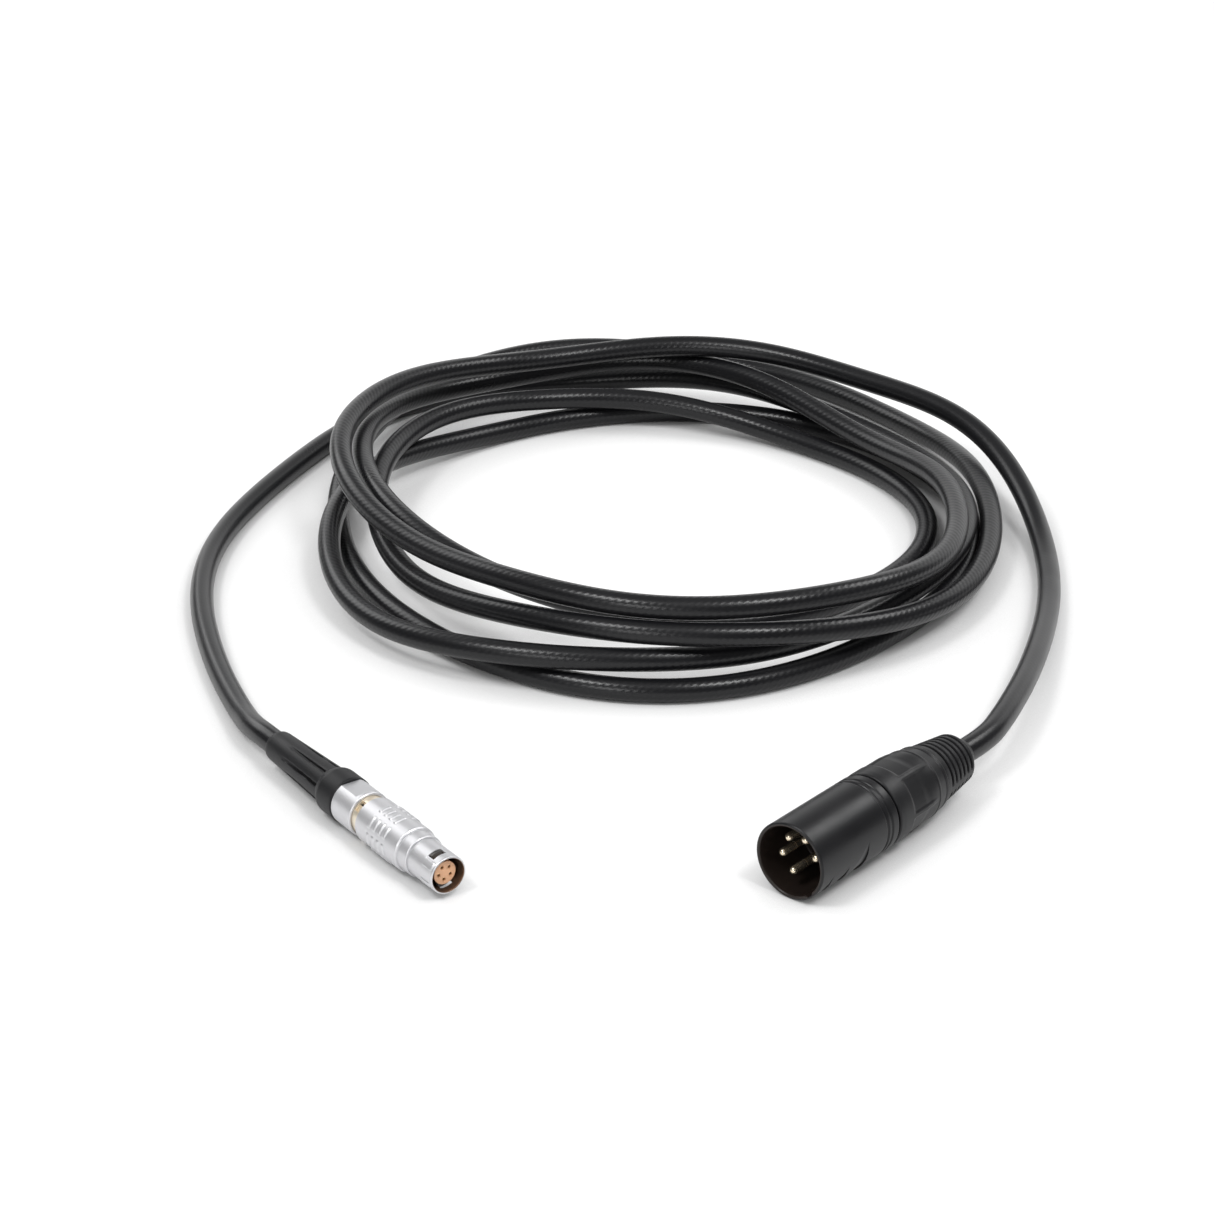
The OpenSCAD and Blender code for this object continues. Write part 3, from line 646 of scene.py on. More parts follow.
def turning_group() -> bpy.types.NodeTree:
    """Fine rings that a cutting tool leaves round a turned piece, and broader streaks.

    Both are noise drawn out round the piece: a whole turn counts for no more than Turn metres.

    Returns:
        Group with Height and Streak, from 0 to 1.
    """
    t, given, end = new_group("turning_marks", {"Ring Scale": 9000.0, "Streak Share": 0.12,
                                                "Turn": 0.0004}, ("Height", "Streak"))
    place = t.lengthwise()
    drawn_out = t.feed(t.node("ShaderNodeCombineXYZ"), X=place["X"],
                       Y=t.math("MULTIPLY", place["Y"], given["Turn"])).outputs[0]
    broad = t.math("MULTIPLY", given["Ring Scale"], given["Streak Share"])
    t.feed(end, Height=t.noise(drawn_out, given["Ring Scale"], detail=2.0),
           Streak=t.noise(drawn_out, broad, detail=3.0))
    return t.tree


def bore_group() -> bpy.types.NodeTree:
    """Mask of what lies inside a bore: near an axis, and in front of a border on it.

    A point counts where its offset from the border runs forward along the axis, and where the
    part of the offset that lies across the axis is shorter than the bore's radius.

    Returns:
        Group with the mask Inside, 0 or 1.
    """
    t, given, end = new_group("inside_bore", {"Border": (0.0, 0.0, 0.0), "Rearward": (0.0, 1.0, 0.0),
                                              "Within": 0.004}, ("Inside",))
    offset = t.vector("SUBTRACT", t.node("ShaderNodeTexCoord").outputs["Object"], given["Border"])
    before = t.math("LESS_THAN", t.vector("DOT_PRODUCT", offset, given["Rearward"]), 0.0)
    across = t.vector("LENGTH", t.vector("CROSS_PRODUCT", offset, given["Rearward"]))
    t.feed(end, Inside=t.math("MULTIPLY", before, t.math("LESS_THAN", across, given["Within"])))
    return t.tree


@dataclass(frozen=True)
class Groups:
    """The shared node groups, built once."""

    grain: bpy.types.NodeTree = field(default_factory=grain_group)
    wear: bpy.types.NodeTree = field(default_factory=wear_group)
    lay: bpy.types.NodeTree = field(default_factory=lay_group)
    turning: bpy.types.NodeTree = field(default_factory=turning_group)
    bore: bpy.types.NodeTree = field(default_factory=bore_group)


def rgba(colour: Triple, gain: float = 1.0) -> tuple[float, float, float, float]:
    """Colour with a gain and an alpha of 1."""
    return (colour[0] * gain, colour[1] * gain, colour[2] * gain, 1.0)


def new_material(name: str) -> tuple[bpy.types.Material, Tree]:
    """Makes a node material without any nodes.

    Args:
        name: Name of the material.

    Returns:
        The material and its tree.
    """
    material = bpy.data.materials.new(name)
    material.use_nodes = True
    material.node_tree.nodes.clear()
    return material, Tree(material.node_tree)


def principled(slot: Slot) -> tuple[bpy.types.Material, Tree, bpy.types.Node]:
    """Makes a material with a Principled shader that is still to be fed.

    Args:
        slot: The slot that the material is for.

    Returns:
        The material, its tree and the shader node.
    """
    material, t = new_material(slot.value)
    shader = t.node("ShaderNodeBsdfPrincipled")
    t.feed(t.node("ShaderNodeOutputMaterial"), Surface=shader.outputs[0])
    return material, t, shader


@dataclass(frozen=True)
class Bore:
    """Inside of a plug, where a finish is given a painted tone of light and shade instead of its colour."""

    axis: PlugAxis
    within_mm: float
    border_mm: float
    painted_tone: Triple

    def tint(self, t: Tree, groups: Groups, colour: Socket) -> Socket:
        """Gives a colour the bore's painted tone where the surface is inside it.

        Args:
            t: The material's tree.
            groups: The shared node groups.
            colour: Colour outside of the bore.

        Returns:
            The colour everywhere.
        """
        mask = t.group(groups.bore, Within=self.within_mm * MM, Rearward=tuple(self.axis.rear()),
                       Border=tuple(self.axis.exit(self.border_mm) * MM))
        # Painted light: inside the bore the painted tone takes the colour's place.
        return t.mix(mask["Inside"], colour, rgba(self.painted_tone))


@dataclass(frozen=True)
class Moulded:
    """Moulded plastic or rubber, or a satin coating: grain, uneven sheen, rubbed edges, painted tone in a
    bore.
    """

    slot: Slot
    colour: Triple
    rubbed: Triple
    wear: float
    roughness: float
    grain_scale: float
    grain_height_mm: float = 0.01
    specular: float = 0.5
    bore: Optional[Bore] = None
    patch_scale: float = 120.0
    break_scale: float = 1100.0
    shades: tuple[float, float] = (0.82, 1.2)
    sheen: float = 0.16
    relief: float = 0.5

    def build(self, groups: Groups) -> bpy.types.Material:
        """Makes the material.

        Args:
            groups: The shared node groups.

        Returns:
            The material.
        """
        material, t, shader = principled(self.slot)
        grain = t.group(groups.grain, Grain_Scale=self.grain_scale, Patch_Scale=self.patch_scale)
        wear = t.group(groups.wear, Break_Scale=self.break_scale, Amount=self.wear)
        plain = t.mix(grain["Shade"], *(rgba(self.colour, gain) for gain in self.shades))
        colour = t.mix(wear["Wear"], plain, rgba(self.rubbed))
        # Where a bore is given, its painted tone of light and shade goes inside it.
        t.feed(shader, Base_Color=self.bore.tint(t, groups, colour) if self.bore else colour,
               Roughness=t.math("MULTIPLY_ADD", grain["Sheen"], self.sheen, self.roughness),
               Normal=t.bump(grain["Height"], self.relief, self.grain_height_mm),
               Specular_IOR_Level=self.specular)
        return material


@dataclass(frozen=True)
class Metal:
    """Plated or bare turned metal: rings of the tool, slow tarnish, brighter edges, painted tone in a bore.
    """

    slot: Slot
    colour: Triple
    tarnish: Triple
    roughness: float
    metallic: float = 1.0
    bore: Optional[Bore] = None
    grain_scale: float = 2500.0
    patch_scale: float = 260.0
    ring_scale: float = 9000.0
    ring_height_mm: float = 0.002
    break_scale: float = 700.0
    wear: float = 0.8
    clouding: float = 0.45
    worn_gain: float = 1.12
    streaks: float = 0.12
    polish: float = 0.12
    relief: float = 0.4

    def build(self, groups: Groups) -> bpy.types.Material:
        """Makes the material.

        Args:
            groups: The shared node groups.

        Returns:
            The material.
        """
        material, t, shader = principled(self.slot)
        grain = t.group(groups.grain, Grain_Scale=self.grain_scale, Patch_Scale=self.patch_scale)
        rings = t.group(groups.turning, Ring_Scale=self.ring_scale)
        wear = t.group(groups.wear, Break_Scale=self.break_scale, Amount=self.wear)["Wear"]
        cloud = t.math("MULTIPLY", grain["Shade"], self.clouding, clamp=True)
        dull = t.mix(cloud, rgba(self.colour), rgba(self.tarnish))
        colour = t.mix(wear, dull, rgba(self.colour, self.worn_gain))
        rough = t.math("MULTIPLY_ADD", rings["Streak"], self.streaks, self.roughness)
        # Where a bore is given, its painted tone of light and shade goes inside it.
        t.feed(shader, Base_Color=self.bore.tint(t, groups, colour) if self.bore else colour,
               Roughness=t.math("SUBTRACT", rough, t.math("MULTIPLY", wear, self.polish), clamp=True),
               Metallic=self.metallic, Normal=t.bump(rings["Height"], self.relief, self.ring_height_mm))
        return material


@dataclass(frozen=True)
class Jacket:
    """Flexible cable jacket with the braid under it showing through as a shallow imprint.

    The imprint is faint near the plugs and grows over the stretch smooth_m from either end.
    """

    slot: Slot
    colour: Triple
    roughness: float
    specular: float
    pitch_mm: float
    strands: float
    depth_mm: float
    length_m: float = 3.46
    smooth_m: tuple[float, float] = (0.18, 0.34)
    least_imprint: float = 0.15
    grain_scale: float = 3000.0
    patch_scale: float = 35.0
    shades: tuple[float, float] = (0.8, 1.25)
    ridge_gain: float = 1.9
    ridge_share: float = 0.35
    sheen: float = 0.2
    grain_share: float = 0.12
    relief: float = 0.6

    def build(self, groups: Groups) -> bpy.types.Material:
        """Makes the material.

        Args:
            groups: The shared node groups.

        Returns:
            The material.
        """
        material, t, shader = principled(self.slot)
        lay = t.group(groups.lay, Pitch=self.pitch_mm * MM, Strands=self.strands)
        grain = t.group(groups.grain, Grain_Scale=self.grain_scale, Patch_Scale=self.patch_scale)
        plain = t.mix(grain["Shade"], *(rgba(self.colour, gain) for gain in self.shades))
        ridge = t.math("MULTIPLY", lay["Ridge"], self.ridge_share)
        along = t.lengthwise()["X"]
        from_plug = t.math("MINIMUM", along, t.math("SUBTRACT", self.length_m, along))
        shows = t.feed(t.node("ShaderNodeMapRange", interpolation_type="SMOOTHSTEP"), Value=from_plug,
                       From_Min=self.smooth_m[0], From_Max=self.smooth_m[1], To_Min=self.least_imprint)
        imprint = t.math("MULTIPLY", lay["Height"], shows.outputs[0])
        height = t.math("MULTIPLY_ADD", grain["Height"], self.grain_share, imprint)
        t.feed(shader, Base_Color=t.mix(ridge, plain, rgba(self.colour, self.ridge_gain)),
               Roughness=t.math("MULTIPLY_ADD", grain["Sheen"], self.sheen, self.roughness),
               Normal=t.bump(height, self.relief, self.depth_mm), Specular_IOR_Level=self.specular)
        return material


# Painted reflection: the warm brown inside the XLR barrel stands in for light thrown back by its inner wall.
BARREL = Bore(XLR_AXIS, within_mm=9.05, border_mm=16.4, painted_tone=(0.017, 0.012, 0.01))
# Painted reflection and painted shade: the darker reddish brown inside the push-pull nose stands in for the
# tan insert seen in its wall.
NOSE = Bore(PUSHPULL_AXIS, within_mm=4.3, border_mm=10.0, painted_tone=(0.2, 0.13, 0.09))
# Painted shade: the dark grey on the latch behind the windows stands in for the shade there.
LATCH = Bore(PUSHPULL_AXIS, within_mm=9.0, border_mm=14.0, painted_tone=(0.09, 0.085, 0.08))
FINISHES = (
    Moulded(Slot.BLACK_METAL, colour=(0.006, 0.006, 0.007), rubbed=(0.06, 0.06, 0.062), wear=0.6,
            roughness=0.36, grain_scale=5200.0, grain_height_mm=0.005, specular=0.3, bore=BARREL),
    Moulded(Slot.BLACK_PLASTIC, colour=(0.012, 0.012, 0.013), rubbed=(0.07, 0.07, 0.072), wear=0.5,
            roughness=0.4, grain_scale=3800.0, grain_height_mm=0.012, specular=0.26, bore=BARREL),
    Moulded(Slot.BLACK_RUBBER, colour=(0.01, 0.01, 0.011), rubbed=(0.05, 0.05, 0.052), wear=0.4,
            roughness=0.44, grain_scale=3200.0, grain_height_mm=0.014, specular=0.24),
    Moulded(Slot.WHITE_PLASTIC, colour=(0.78, 0.77, 0.73), rubbed=(0.8, 0.8, 0.78), wear=0.2,
            roughness=0.45, grain_scale=3500.0),
    Moulded(Slot.INSULATION, colour=(0.5, 0.1, 0.08), rubbed=(0.55, 0.15, 0.12), wear=0.2,
            roughness=0.45, grain_scale=3500.0),
    Moulded(Slot.TAN, colour=(0.7, 0.39, 0.22), rubbed=(0.78, 0.46, 0.28), wear=0.4,
            roughness=0.36, grain_scale=3000.0),
    Jacket(Slot.JACKET, colour=(0.006, 0.006, 0.007), roughness=0.31, specular=0.35, pitch_mm=2.0,
           strands=9.0, depth_mm=0.05),
    Metal(Slot.GOLD, colour=(0.9, 0.81, 0.64), tarnish=(0.6, 0.45, 0.3), roughness=0.2, metallic=0.93),
    Metal(Slot.SPRING, colour=(0.6, 0.6, 0.58), tarnish=(0.45, 0.44, 0.42), roughness=0.35),
    Metal(Slot.CHROME, colour=(0.65, 0.65, 0.665), tarnish=(0.57, 0.57, 0.59), roughness=0.36,
          metallic=0.75, bore=NOSE),
    Metal(Slot.BRASS, colour=(0.88, 0.8, 0.66), tarnish=(0.72, 0.6, 0.46), roughness=0.32,
          metallic=0.8, bore=LATCH),
)
SOCKET_GOLD = Metal(Slot.GOLD, colour=(0.6, 0.4, 0.2), tarnish=(0.4, 0.25, 0.12), roughness=0.32,
                    metallic=0.85)


class Wardrobe:
    """The materials by slot, and the dressing of pieces and nodes with them."""

    def __init__(self) -> None:
        """Builds every material once."""
        groups = Groups()
        self.materials = {finish.slot: finish.build(groups) for finish in FINISHES}
        self.socket_gold = SOCKET_GOLD.build(groups)

    def dress(self, piece: bpy.types.Object, slot: Slot, body: str, *nodes: str) -> bpy.types.Object:
        """Gives a piece its finish and its body and lets it stand for nodes.

        Args:
            piece: The piece.
            slot: Material slot.
            body: Body that it rides on.
            *nodes: Nodes that it replaces.

        Returns:
            The piece.
        """
        piece.data.materials.append(self.materials[slot])
        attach(piece, body)
        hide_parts(*nodes)
        LOG.info("%s rides on %s in %s, %d faces", piece.name, body, slot.value, len(piece.data.polygons))
        return piece

    def dress_nodes(self) -> None:
        """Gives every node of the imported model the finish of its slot."""
        for row in frame["record"]["subparts"]:
            piece, slot = frame["nodes"][row["node"]], Slot(row["material_slot"])
            if not piece.material_slots:
                piece.data.materials.append(self.materials[slot])
            for place in piece.material_slots:
                place.material = self.materials[slot]
            LOG.info("node %s keeps its shape in %s", row["node"], slot.value)


# ---------------------------------------------------------------- cable

@dataclass
class Cable:
    """The cable from plug to plug: two listed free stretches and a piled coil.

    A turn of the coil has its reach from the middle in eight directions. Rings are counted
    along the coil; the turn laid last is tucked in between from ring tucked_from on.
    """

    diameter_mm: float = 6.2
    contact_mm: float = 6.65
    oval: float = 1.08
    centre_mm: tuple[float, float] = (-90.1, 128.0)
    turn_deg: float = 40.6
    rings_per_turn: int = 24
    first_ring: int = 3
    last_ring: int = 129
    tucked_from: int = 105
    tucked_by: int = 27
    crossing_spread: int = 6
    crossing_fall_mm: float = 3.0
    own_rings: int = 10
    sides: int = 28
    step_mm: float = 1.6
    settle_mm: float = 20.0
    reach_mm: tuple[tuple[float, ...], ...] = (
        (97, 89, 84, 86, 87, 78, 89, 93),
        (82, 73, 90, 93, 80, 69, 62, 69),
        (78, 70, 71, 79, 77, 80, 92, 97),
        (95, 103, 118, 104, 88, 88, 97, 90),
        (90, 84, 76, 76, 87, 99, 92, 87),
        (88, 80, 94, 110, 99, 99, 99, 99),
    )
    xlr_route_mm: tuple[Triple, ...] = (
        (61.2, 74, 9.5), (58.7, 83, 9.3), (53.8, 96, 8.6), (46, 114, 7), (37.5, 132, 5.2),
        (25, 155, 3.7), (11, 176, 3.1), (-1, 190, 3.9), (-12, 200.5, 7), (-24, 209, 11.4),
        (-37, 215.5, 15.4), (-50, 219.4, 18.2), (-62, 221, 19.4),
    )
    pushpull_route_mm: tuple[Triple, ...] = (
        (-83, -33.6, 5.2), (-91, -29.4, 4), (-101, -23.5, 3.3), (-117, -13.5, 3.1),
        (-132, -3, 3.1), (-149.5, 11, 3.1), (-164, 26.5, 3.1), (-175, 42, 3.1), (-183, 58, 3.1),
        (-190, 76, 3.1), (-196, 94, 3.1), (-200.7, 112, 3),
    )

    def reach(self, at: Array) -> Array:
        """Reach from the coil's middle, a cubic through the eight directions of each turn.

        Args:
            at: Directions counted from the start of the first turn.

        Returns:
            Reach in mm.
        """
        table = np.concatenate(self.reach_mm).astype(float)
        whole = np.floor(at).astype(int)
        f = at - whole
        a, b, c, d = (table[np.clip(whole + k, 0, len(table) - 1)] for k in (-1, 0, 1, 2))
        return b + f / 2 * (c - a + f * (2 * a - 5 * b + 4 * c - d + f * (3 * (b - c) + d - a)))

    def plan(self, ring: Array) -> Array:
        """Places of the cable's middle seen from above: an oval of changing reach, turned.

        Args:
            ring: Ring numbers, also between two rings.

        Returns:
            Points in mm, two numbers each.
        """
        angle = ring * 2 * math.pi / self.rings_per_turn
        r = self.reach(ring * len(self.reach_mm[0]) / self.rings_per_turn)
        x, y = r * np.cos(angle), self.oval * r * np.sin(angle)
        cos, sin = math.cos(math.radians(self.turn_deg)), math.sin(math.radians(self.turn_deg))
        return np.array(self.centre_mm) + np.stack([x * cos - y * sin, x * sin + y * cos], axis=1)

    def heading(self, ring: float) -> Array:
        """Level direction of the cable at a ring, as a unit vector."""
        run = np.diff(self.plan(np.array([ring - 0.1, ring + 0.1])), axis=0)[0]
        return np.append(run / np.linalg.norm(run), 0.0)

    def laid(self, ring: Array) -> Array:
        """How early a ring was laid: the later turns first, part of the last one tucked in."""
        return np.where(ring < self.tucked_from, -ring, self.tucked_by - ring) + ring / 1000.0

    def heights(self, plan: Array) -> Array:
        """Heights of the rings above the lowest layer, laid one after another.

        Two round cables a distance s apart in plan touch where one lies sqrt(contact^2 - s^2)
        above the other. A ring rests on every earlier stretch that crosses within a few rings
        of it, and falls at a steady rate on either side of such a crossing.

        Args:
            plan: Places of the rings in mm.

        Returns:
            Heights in mm.
        """
        count = len(plan)
        start, run = plan[:-1], np.diff(plan, axis=0)
        t = np.clip(((plan[:, None] - start) * run).sum(2) / (run ** 2).sum(1), 0, 1)
        apart = np.linalg.norm(plan[:, None] - start - t[..., None] * run, axis=2)
        rise = np.sqrt(np.clip(self.contact_mm ** 2 - apart ** 2, 0, None))
        rank = self.laid(np.arange(self.first_ring, self.last_ring + 1))
        far = np.abs(np.arange(count - 1) - np.arange(count)[:, None]) > self.own_rings
        below = far & (np.maximum(rank[:-1], rank[1:]) < rank[:, None]) & (rise > 0)
        height = np.full(count, np.nan)
        for k in np.argsort(rank):
            lift = height[:-1] + t * np.diff(height) + rise
            best = np.where(below & ~np.isnan(lift), lift, 0.0).max(axis=1)
            near = np.arange(max(0, k - self.crossing_spread), min(count, k + self.crossing_spread + 1))
            fall = np.maximum(0, np.abs(near - k) - 1) * self.crossing_fall_mm
            height[k] = max(0.0, float((best[near] - fall).max()))
        return height

    def route(self, exits: tuple[Array, Array], headings: tuple[Array, Array]) -> Array:
        """Points of the whole cable: out of one plug, round the coil and into the other.

        Args:
            exits: Where the cable leaves the two plugs, in mm.
            headings: Directions in which it leaves them.

        Returns:
            The route's points in mm.
        """
        d = self.diameter_mm
        plan = self.plan(np.arange(self.first_ring, self.last_ring + 1))
        coil = np.c_[plan, self.heights(plan) + d / 2]
        first, last = self.heading(self.first_ring), self.heading(self.last_ring)
        route = np.vstack([exits[0], exits[0] + d * headings[0], self.xlr_route_mm,
                           coil[0] - 2 * d * first, coil[0] - d * first, coil,
                           coil[-1] + d * last, coil[-1] + 2 * d * last,
                           self.pushpull_route_mm[::-1], exits[1] + d * headings[1], exits[1]])
        route[:, 2] = np.maximum(route[:, 2], d / 2)
        return route

    @staticmethod
    def smooth(points: Array, step: float, parts: int = 12) -> Array:
        """A curve with even curvature through points, as points a steady step apart.

        Between two points it is the cubic whose directions there are weighted by the chord
        lengths on either side.

        Args:
            points: Points in mm.
            step: Distance of the new points in mm.
            parts: Pieces that a stretch between two points is worked out in.

        Returns:
            Points of the curve in mm.
        """
        run = np.diff(points, axis=0)
        chord = np.linalg.norm(run, axis=1)[:, None]
        slope = run / chord
        inner = (slope[:-1] * chord[1:] + slope[1:] * chord[:-1]) / (chord[:-1] + chord[1:])
        tangent = np.vstack([slope[:1], inner, slope[-1:]])
        t = (np.arange(parts) / parts)[None, :, None]
        p, q = points[:-1, None], points[1:, None]
        m, n = tangent[:-1, None] * chord[:, None], tangent[1:, None] * chord[:, None]
        curve = ((2 * t ** 3 - 3 * t ** 2 + 1) * p + (t ** 3 - 2 * t ** 2 + t) * m
                 + (3 * t ** 2 - 2 * t ** 3) * q + (t ** 3 - t ** 2) * n).reshape(-1, 3)
        curve = np.vstack([curve, points[-1:]])
        length = lengths(curve)
        even = np.linspace(0.0, length[-1], int(length[-1] / step))
        return np.stack([np.interp(even, length, curve[:, k]) for k in range(3)], axis=1)

    @staticmethod
    def blur(points: Array, bell: Array) -> Array:
        """Blurs each coordinate along a path, whose ends are carried on in line.

        Args:
            points: Points of the path.
            bell: Weights of a point's neighbours and itself, which add up to 1.

        Returns:
            The blurred points.
        """
        steps = np.arange(len(bell) // 2, 0, -1)[:, None]
        padded = np.vstack([points[0] + (points[0] - points[1]) * steps, points,
                            points[-1] + (points[-1] - points[-2]) * steps[::-1]])
        return np.stack([np.convolve(padded[:, k], bell, "valid") for k in range(3)], axis=1)

    def settle(self, path: Array) -> Array:
        """Evens out small waves as a stiff cable does, and keeps it on the floor.

        The path is blurred once and once more, and twice the first blur less the second is
        taken, so that a wide bend keeps its radius. Near the plugs the path stays as it is.

        Args:
            path: Points in mm, a steady step apart.

        Returns:
            The settled points in mm.
        """
        reach = int(3 * self.settle_mm / self.step_mm)
        bell = np.exp(-0.5 * (np.arange(-reach, reach + 1) * self.step_mm / self.settle_mm) ** 2)
        bell /= bell.sum()
        once = self.blur(path, bell)
        even = 2 * once - self.blur(once, bell)
        from_end = np.minimum(np.arange(len(path)), np.arange(len(path))[::-1]) * self.step_mm
        share = ease((from_end - self.diameter_mm) / (3 * self.settle_mm))[:, None]
        settled = path + (even - path) * share
        settled[:, 2] = np.maximum(settled[:, 2], self.diameter_mm / 2)
        return settled

    def sweep(self, name: str, path: Array) -> bpy.types.Object:
        """Carries a circle along a path, square to it and without twist.

        Args:
            name: Name of the piece.
            path: Points in mm.

        Returns:
            The closed tube.
        """
        ahead = np.gradient(path, axis=0)
        ahead /= np.linalg.norm(ahead, axis=1)[:, None]
        side = np.cross(ahead, [0.0, 0.0, 1.0])
        side /= np.linalg.norm(side, axis=1)[:, None]
        up = np.cross(side, ahead)
        angle = (np.arange(self.sides) * 2 * math.pi / self.sides)[None, ::-1, None]
        circle = np.cos(angle) * up[:, None] - np.sin(angle) * side[:, None]
        points = path[:, None] + self.diameter_mm / 2 * circle
        surface = Surface()
        surface.grid(points * MM, lengths(path) * MM, poles=path[[0, -1]] * MM)
        return surface.build(name)

    def make(self, wardrobe: Wardrobe, exits: tuple[Array, Array], headings: tuple[Array, Array]) -> None:
        """Args:
            wardrobe: The materials.
            exits: Where the cable leaves the two plugs, in mm.
            headings: Directions in which it leaves them.
        """
        path = self.settle(self.smooth(self.route(exits, headings), self.step_mm))
        cable = self.sweep("screened_cable", path)
        wardrobe.dress(cable, Slot.JACKET, "root", "cable_tail_xlr", "cable_coil", "cable_tail_pushpull")


# ---------------------------------------------------------------- XLR plug

@dataclass(frozen=True)
class Notch:
    """Crescent thumb notch between two stations, its floor a ramp that ends in a wall."""

    start_mm: float
    end_mm: float
    depth_mm: float
    half_deg: float

    def cut(self, station: Array, off: Array, radius_mm: float) -> Array:
        """Radii of a cone whose axis is shifted away from the notch, so that its edge is a crescent.

        The cone meets the shell at the half angle where the notch is deepest.

        Args:
            station: Stations in mm.
            off: Angles from the notch's middle in radians.
            radius_mm: Radius of the shell.

        Returns:
            The cone's radii, infinite where the notch isn't.
        """
        r, depth = radius_mm, self.depth_mm
        bulge = 2 * r * (1 - math.cos(math.radians(self.half_deg))) - 2 * depth
        shift = (2 * r * depth - depth ** 2) / bulge
        cone = r + shift - depth * np.clip((station - self.start_mm) / (self.end_mm - self.start_mm), 0, 1)
        edge = -shift * np.cos(off) + np.sqrt(cone ** 2 - (shift * np.sin(off)) ** 2)
        return np.where((station > self.start_mm) & (station < self.end_mm), edge, np.inf)


@dataclass
class XlrPlug:
    """Five pole XLR plug: die cast shell, pins, bushing with pockets and ribbed bend relief.

    What lies further from the axis than outside_mm belongs to the outside of the shell. The
    keyway is full up to the first of its stops before the cavity's floor and gone by the
    second. The stops of the pockets are counted from the bushing's start: where a pocket
    starts, is deep, starts to fade and ends. The ribs' stretch is counted from the bushing's
    end, and a groove is as wide as its shares of the pitch from one rib to the next.
    """

    axis: PlugAxis = XLR_AXIS
    radius_mm: float = 9.5
    wall_mm: float = 1.0
    outside_mm: float = 8.85
    shell_mm: float = 29.2
    cavity_mm: float = 16.0
    insert_mm: float = 6.0
    key_half_mm: float = 0.9
    key_depth_mm: float = 0.5
    keyway_stops_mm: tuple[float, float] = (1.3, 1.0)
    notches: tuple[Notch, ...] = (Notch(1.8, 4.4, 0.35, 36), Notch(6.6, 10.6, 0.4, 34),
                                  Notch(12.0, 17.4, 0.45, 56))
    pins: int = 5
    pin_radius_mm: float = 1.0
    pin_circle_mm: float = 4.75
    pin_recess_mm: float = 3.0
    first_pin_deg: float = 11.0
    pin_step_deg: float = 60.0
    solder_cup_mm: float = 4.5
    bushing_start_mm: float = 30.0
    bushing_end_mm: float = 50.8
    bushing_bore_mm: float = 7.75
    pockets: int = 6
    first_pocket_deg: float = 30.0
    pocket_half_mm: float = 4.1
    pocket_depth_mm: float = 0.8
    pocket_hollow: float = 0.55
    pocket_stops_mm: tuple[float, float, float, float] = (5.0, 6.2, 11.5, 16.5)
    end_mm: float = 67.5
    cable_bore_mm: float = 3.15
    ribs_from_mm: float = 1.75
    ribs_length_mm: float = 11.4
    grooves: int = 6
    groove_depth_mm: float = 1.0
    groove_shares: tuple[float, float] = (0.16, 0.42)
    strips_deg: tuple[float, float] = (-8, 172)
    strip_half_rad: float = 0.13

    def carve_shell(self, skin: Skin) -> Array:
        """Thumb notches outside, on the key's side, and a keyway inside.

        Args:
            skin: The turned shell.

        Returns:
            The carved radii.
        """
        key_deg = self.first_pin_deg - self.pin_step_deg
        off = off_clock(skin.angle, key_deg)
        cuts = [notch.cut(skin.station, off, self.radius_mm) for notch in self.notches]
        outside = np.minimum.reduce([skin.radius, *cuts])
        full, gone = (self.cavity_mm - stop for stop in self.keyway_stops_mm)
        across = plateau(off * self.radius_mm, -self.key_half_mm, self.key_half_mm, soft=0.25)
        keyway = across * ramp(skin.station, gone, full)
        return np.where(skin.radius > self.outside_mm, outside, skin.radius + self.key_depth_mm * keyway)

    def shell(self) -> bpy.types.Object:
        """The shell, with two shallow rings round its rear end.

        Returns:
            The shell.
        """
        r, bore, end = self.radius_mm, self.radius_mm - self.wall_mm, self.shell_mm
        walls = [(notch.end_mm + side, r) for notch in self.notches for side in (-0.02, 0.02)]
        rings = [(end - back + step, r - drop) for back in (4.8, 3.2) for step, drop in
                 ((0, 0), (0.25, 0.28), (0.75, 0.28), (1.0, 0))]
        outline = [(0.3, bore), (0, bore + 0.22), (0, r - 0.3), (0.3, r), *walls, *rings, (end - 0.25, r),
                   (end, r - 0.25), (end, bore), (self.cavity_mm, bore), (self.cavity_mm, bore - 0.5),
                   (self.cavity_mm - 0.6, bore - 0.5), (self.cavity_mm - 0.6, bore)]
        dense = denser(rounded(outline, radius=0.12), step=0.32)
        return turned("xlr_shell_casting", self.axis, dense, sides=320, carve=self.carve_shell)

    def pin(self, index: int) -> bpy.types.Object:
        """A contact pin with a round tip and a solder cup behind the insert.

        Args:
            index: Which pin, from 0.

        Returns:
            The pin.
        """
        r, tip, cup, bore = self.pin_radius_mm, self.pin_recess_mm, self.pin_radius_mm + 0.25, 0.7
        rear = self.cavity_mm + self.insert_mm
        end = rear + self.solder_cup_mm
        nose = [(tip + r * (1 - math.cos(a)), r * math.sin(a)) for a in np.radians(np.arange(0, 91, 9))]
        body = [(rear, r), (rear, cup), (end, cup), (end, bore), (rear + 1, bore), (rear + 1, 0)]
        return spun(f"xlr_contact_pin_{index + 1}", self.axis, np.array(nose + body), sides=40,
                    clock=self.first_pin_deg + self.pin_step_deg * index, offset=self.pin_circle_mm)

    def carve_bushing(self, skin: Skin) -> Array:
        """Shallow pockets with soft side walls that run out towards the rear.

        A pocket's floor is a little hollow, so that the ridges between the pockets stand out
        along the plug.

        Args:
            skin: The turned bushing.

        Returns:
            The carved radii.
        """
        outside = skin.radius > self.bushing_bore_mm + 0.05
        off = off_clock(skin.angle, self.first_pocket_deg, self.pockets)
        across = off * self.radius_mm / self.pocket_half_mm
        floor = 1.0 - self.pocket_hollow * np.clip(across, -1, 1) ** 2
        along = hump(skin.station - self.bushing_start_mm, self.pocket_stops_mm)
        within = plateau(across, -1.0, 1.0, soft=0.12)
        return skin.radius - self.pocket_depth_mm * outside * within * floor * along

